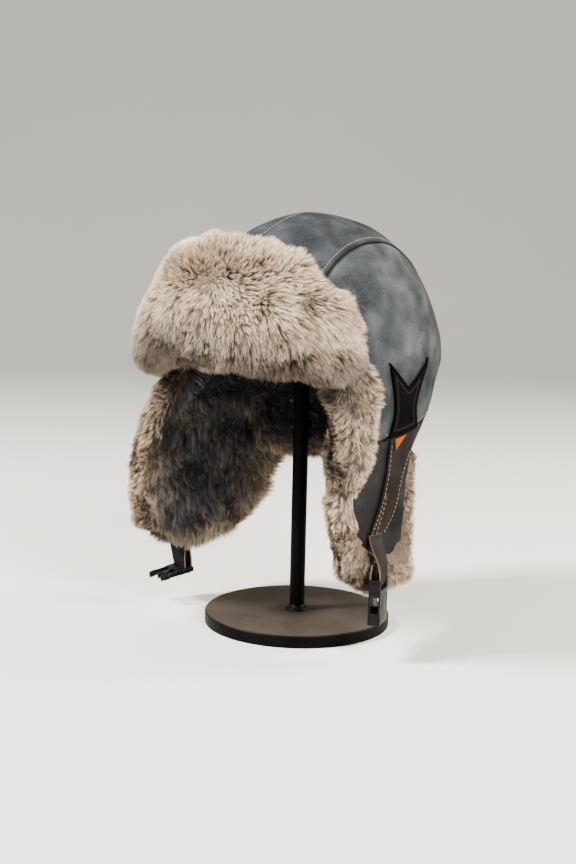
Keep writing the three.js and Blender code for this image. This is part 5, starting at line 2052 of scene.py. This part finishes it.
def brim_backing(suede: Material) -> None:
    """The suede that backs the brim's fur, seen from behind and above."""
    pad, rows, columns = BrimPad(), 120, 26
    u, v = share_grid(rows, columns)
    angle, _, top, _ = pad.station(u)
    z = lerp(pad.hem, np.maximum(top - 8, pad.hem + 4), v)
    p = pad.face(angle, z, SUEDE_THICKNESS)
    out = np.stack([np.sin(angle), -np.cos(angle), 0 * angle], axis=-1)
    p = p + out * (0.15 * Ripple(20, 51).at(p))[:, None]
    faces = facing(p, grid_faces(rows, columns), out)
    edge = edge_distance(p.reshape(rows, columns, 3)).ravel()
    # The backing's edges are marked for painted shade, as at the seams.
    made = mesh_object("brim_backing", p, faces, {"seam": bump(edge, 0, SEAM_SHADE)})
    thicken(made, SUEDE_THICKNESS)
    dress(made, suede, "suede", "brim_backing")


# The studio


FILM_MM = 36
LONG_SIDE = 864
DAYLIGHT = (0.86, 0.92, 1.0)
LAMPS = {
    "key": ((-0.75, -1.1, 1.45), 0.4, 222, (1.0, 0.94, 0.86)),
    "side": ((1.35, -0.45, 1.2), 0.5, 95, (1.0, 0.95, 0.88)),
    "rim": ((0.9, 1.25, 0.9), 0.5, 90, (1.0, 0.9, 0.76)),
}


@dataclass(frozen=True)
class Studio:
    """The photograph's viewpoint, a pale floor and soft lights.

    Args:
        azimuth: the side that the camera stands on, from the front towards the left ear.
        distance, height: its place from the post and the floor, in metres.
        focal: its focal length in pixels of the picture's long side.
        pitch, yaw, roll: how far it looks down, is turned from the post and is rolled.
        flat: the radius of the round floor's level part, in millimetres.
        sweep, wall: the radius of the curve up into its wall, and the wall's height.
    """

    azimuth: float = 40.39
    distance: float = 1.0
    height: float = 0.29665
    focal: float = 1259.7
    pitch: float = 8.03
    yaw: float = -0.59
    roll: float = 1.39
    flat: float = 2200
    sweep: float = 1400
    wall: float = 1200

    def camera(self) -> None:
        """Stands the camera where the photograph was taken from."""
        data = bpy.data.cameras.new("photo_view")
        data.sensor_width = FILM_MM
        data.sensor_fit = "AUTO"
        data.lens = self.focal / LONG_SIDE * FILM_MM
        data.clip_start, data.clip_end = 0.01, 100
        made = put_object("photo_view", data)
        a = math.radians(self.azimuth)
        spot = (self.distance * math.sin(a), -self.distance * math.cos(a), self.height)
        pose = Matrix.Translation(spot)
        turns = (("Z", self.azimuth), ("X", 90 - self.pitch), ("Y", -self.yaw), ("Z", self.roll))
        for axis, degrees in turns:
            pose = pose @ Matrix.Rotation(math.radians(degrees), 4, axis)
        made.matrix_world = pose
        bpy.context.scene.camera = made

    @staticmethod
    def lamp(name: str, spot: tuple[float, ...], size: float, power: float, colour: Colour) -> None:
        """A square soft light that faces the cap, by place and side in metres and power in watts."""
        data = bpy.data.lights.new(name, "AREA")
        data.size, data.energy, data.color = size, power, colour
        made = put_object(name, data)
        made.location = Vector(spot)
        made.rotation_euler = (Vector((0, 0, 0.2)) - made.location).to_track_quat("-Z", "Y").to_euler()

    def build(self, paper: Material) -> None:
        """Makes the camera, the floor, the sky and the lights."""
        self.camera()
        turn = np.linspace(0, math.pi / 2, 16)
        bend = self.sweep * np.stack([np.sin(turn), 1 - np.cos(turn)], axis=1)
        top = [(self.sweep, self.sweep + self.wall)]
        profile = np.concatenate([[(0, 0)], np.concatenate([bend, top]) + [self.flat, 0]])
        p, faces = HatStand.turned(profile, 96)
        floor = mesh_object("floor", p - [0, 0, 0.05], faces)
        floor.data.materials.append(paper)
        world = bpy.data.worlds.new("pale_room")
        world.use_nodes = True
        sky = world.node_tree.nodes["Background"]
        sky.inputs["Color"].default_value = (*DAYLIGHT, 1)
        sky.inputs["Strength"].default_value = 0.3
        bpy.context.scene.world = world
        for name, settings in LAMPS.items():
            self.lamp(name, *settings)


def build_furs() -> None:
    """Makes every pad of fur with its strands."""
    fur = Fur()
    furs = (fur.undercoat(), fur.strands())
    brim = Coat(95000, root=0.7, tuft=2.7, contrast=0.3, seed=3)
    put_fur("brim_fur", [(BrimPad(), brim)], "fur", furs)
    for side in Side:
        pads = [
            (SidePad(side, FLAP_PADS[side], FLAP_ENDS, True), Coat(66000, root=0.5, seed=5)),
            (SidePad(side, TEMPLE_PADS[side], TEMPLE_ENDS, False), Coat(22500, seed=7)),
        ]
        put_fur(f"ear_flap_fur_{side.word}", pads, "fur", furs)
    put_fur("nape_fur", [(NapePad(), Coat(32000, root=0.55, seed=9))], "fur", furs)
    lining = [
        (LiningPad(), Coat(17000, root=0.5, reach=4, width=0.55, seed=11)),
        (BrowRoll(), Coat(8000, root=0.5, seed=13)),
    ]
    put_fur("crown_lining", lining, "lining", furs)


def main() -> None:
    """Builds the cap and its stand, piece by piece."""
    logging.basicConfig(level=logging.INFO, format="%(message)s")
    Studio().build(Paper().material())
    suede = Suede().material()
    # Darker copies of the suede, as painted shade: over the crown's top on the centre panel, and on the
    # ear flaps.
    crest = Suede("crown_top_shaded_suede", srgb(10, 12, 14), srgb(30, 33, 37), srgb(78, 84, 89), srgb(24, 22, 21))
    shaded = Suede("flap_shaded_suede", srgb(9, 10, 11), srgb(19, 20, 21), srgb(44, 45, 46), srgb(16, 14, 13))
    plastic = Moulded("black_plastic", srgb(4, 4, 5), 0.4, 1.2, 0.05, 0.1).material()
    # The powder coat's last colour is a painted warm reflection on the disc's top.
    coat = Moulded("powder_coat", srgb(2, 2, 2), 0.5, 0.8, 0.12, 0.03, srgb(46, 41, 36)).material()
    brown = Leather("brown_leather", srgb(17, 14, 12), srgb(30, 25, 22), srgb(84, 62, 42), 0.8, 0.05)
    black = Leather("black_leather", srgb(2, 2, 3), srgb(4, 4, 5), srgb(30, 25, 21), 0.8, 0.012)
    finishes = {
        "yoke": black.material(),
        "tab": brown.material(),
        "thread": Thread("tan_thread", srgb(148, 122, 92), srgb(84, 68, 50)).material(),
        "piping_and_shadow": Thread("dark_piping_and_shadow", srgb(8, 8, 9), srgb(4, 4, 5)).material(),
        "tag": Woven().material(),
    }
    HatStand().build(coat, plastic)
    Crown().build(suede, crest.material())
    EarFlaps().build(shaded.material())
    brim_backing(suede)
    Trimming().build(finishes)
    ChinStrap().build(Leather().material())
    Buckle().build(plastic)
    build_furs()


if __name__ == "__main__":
    main()
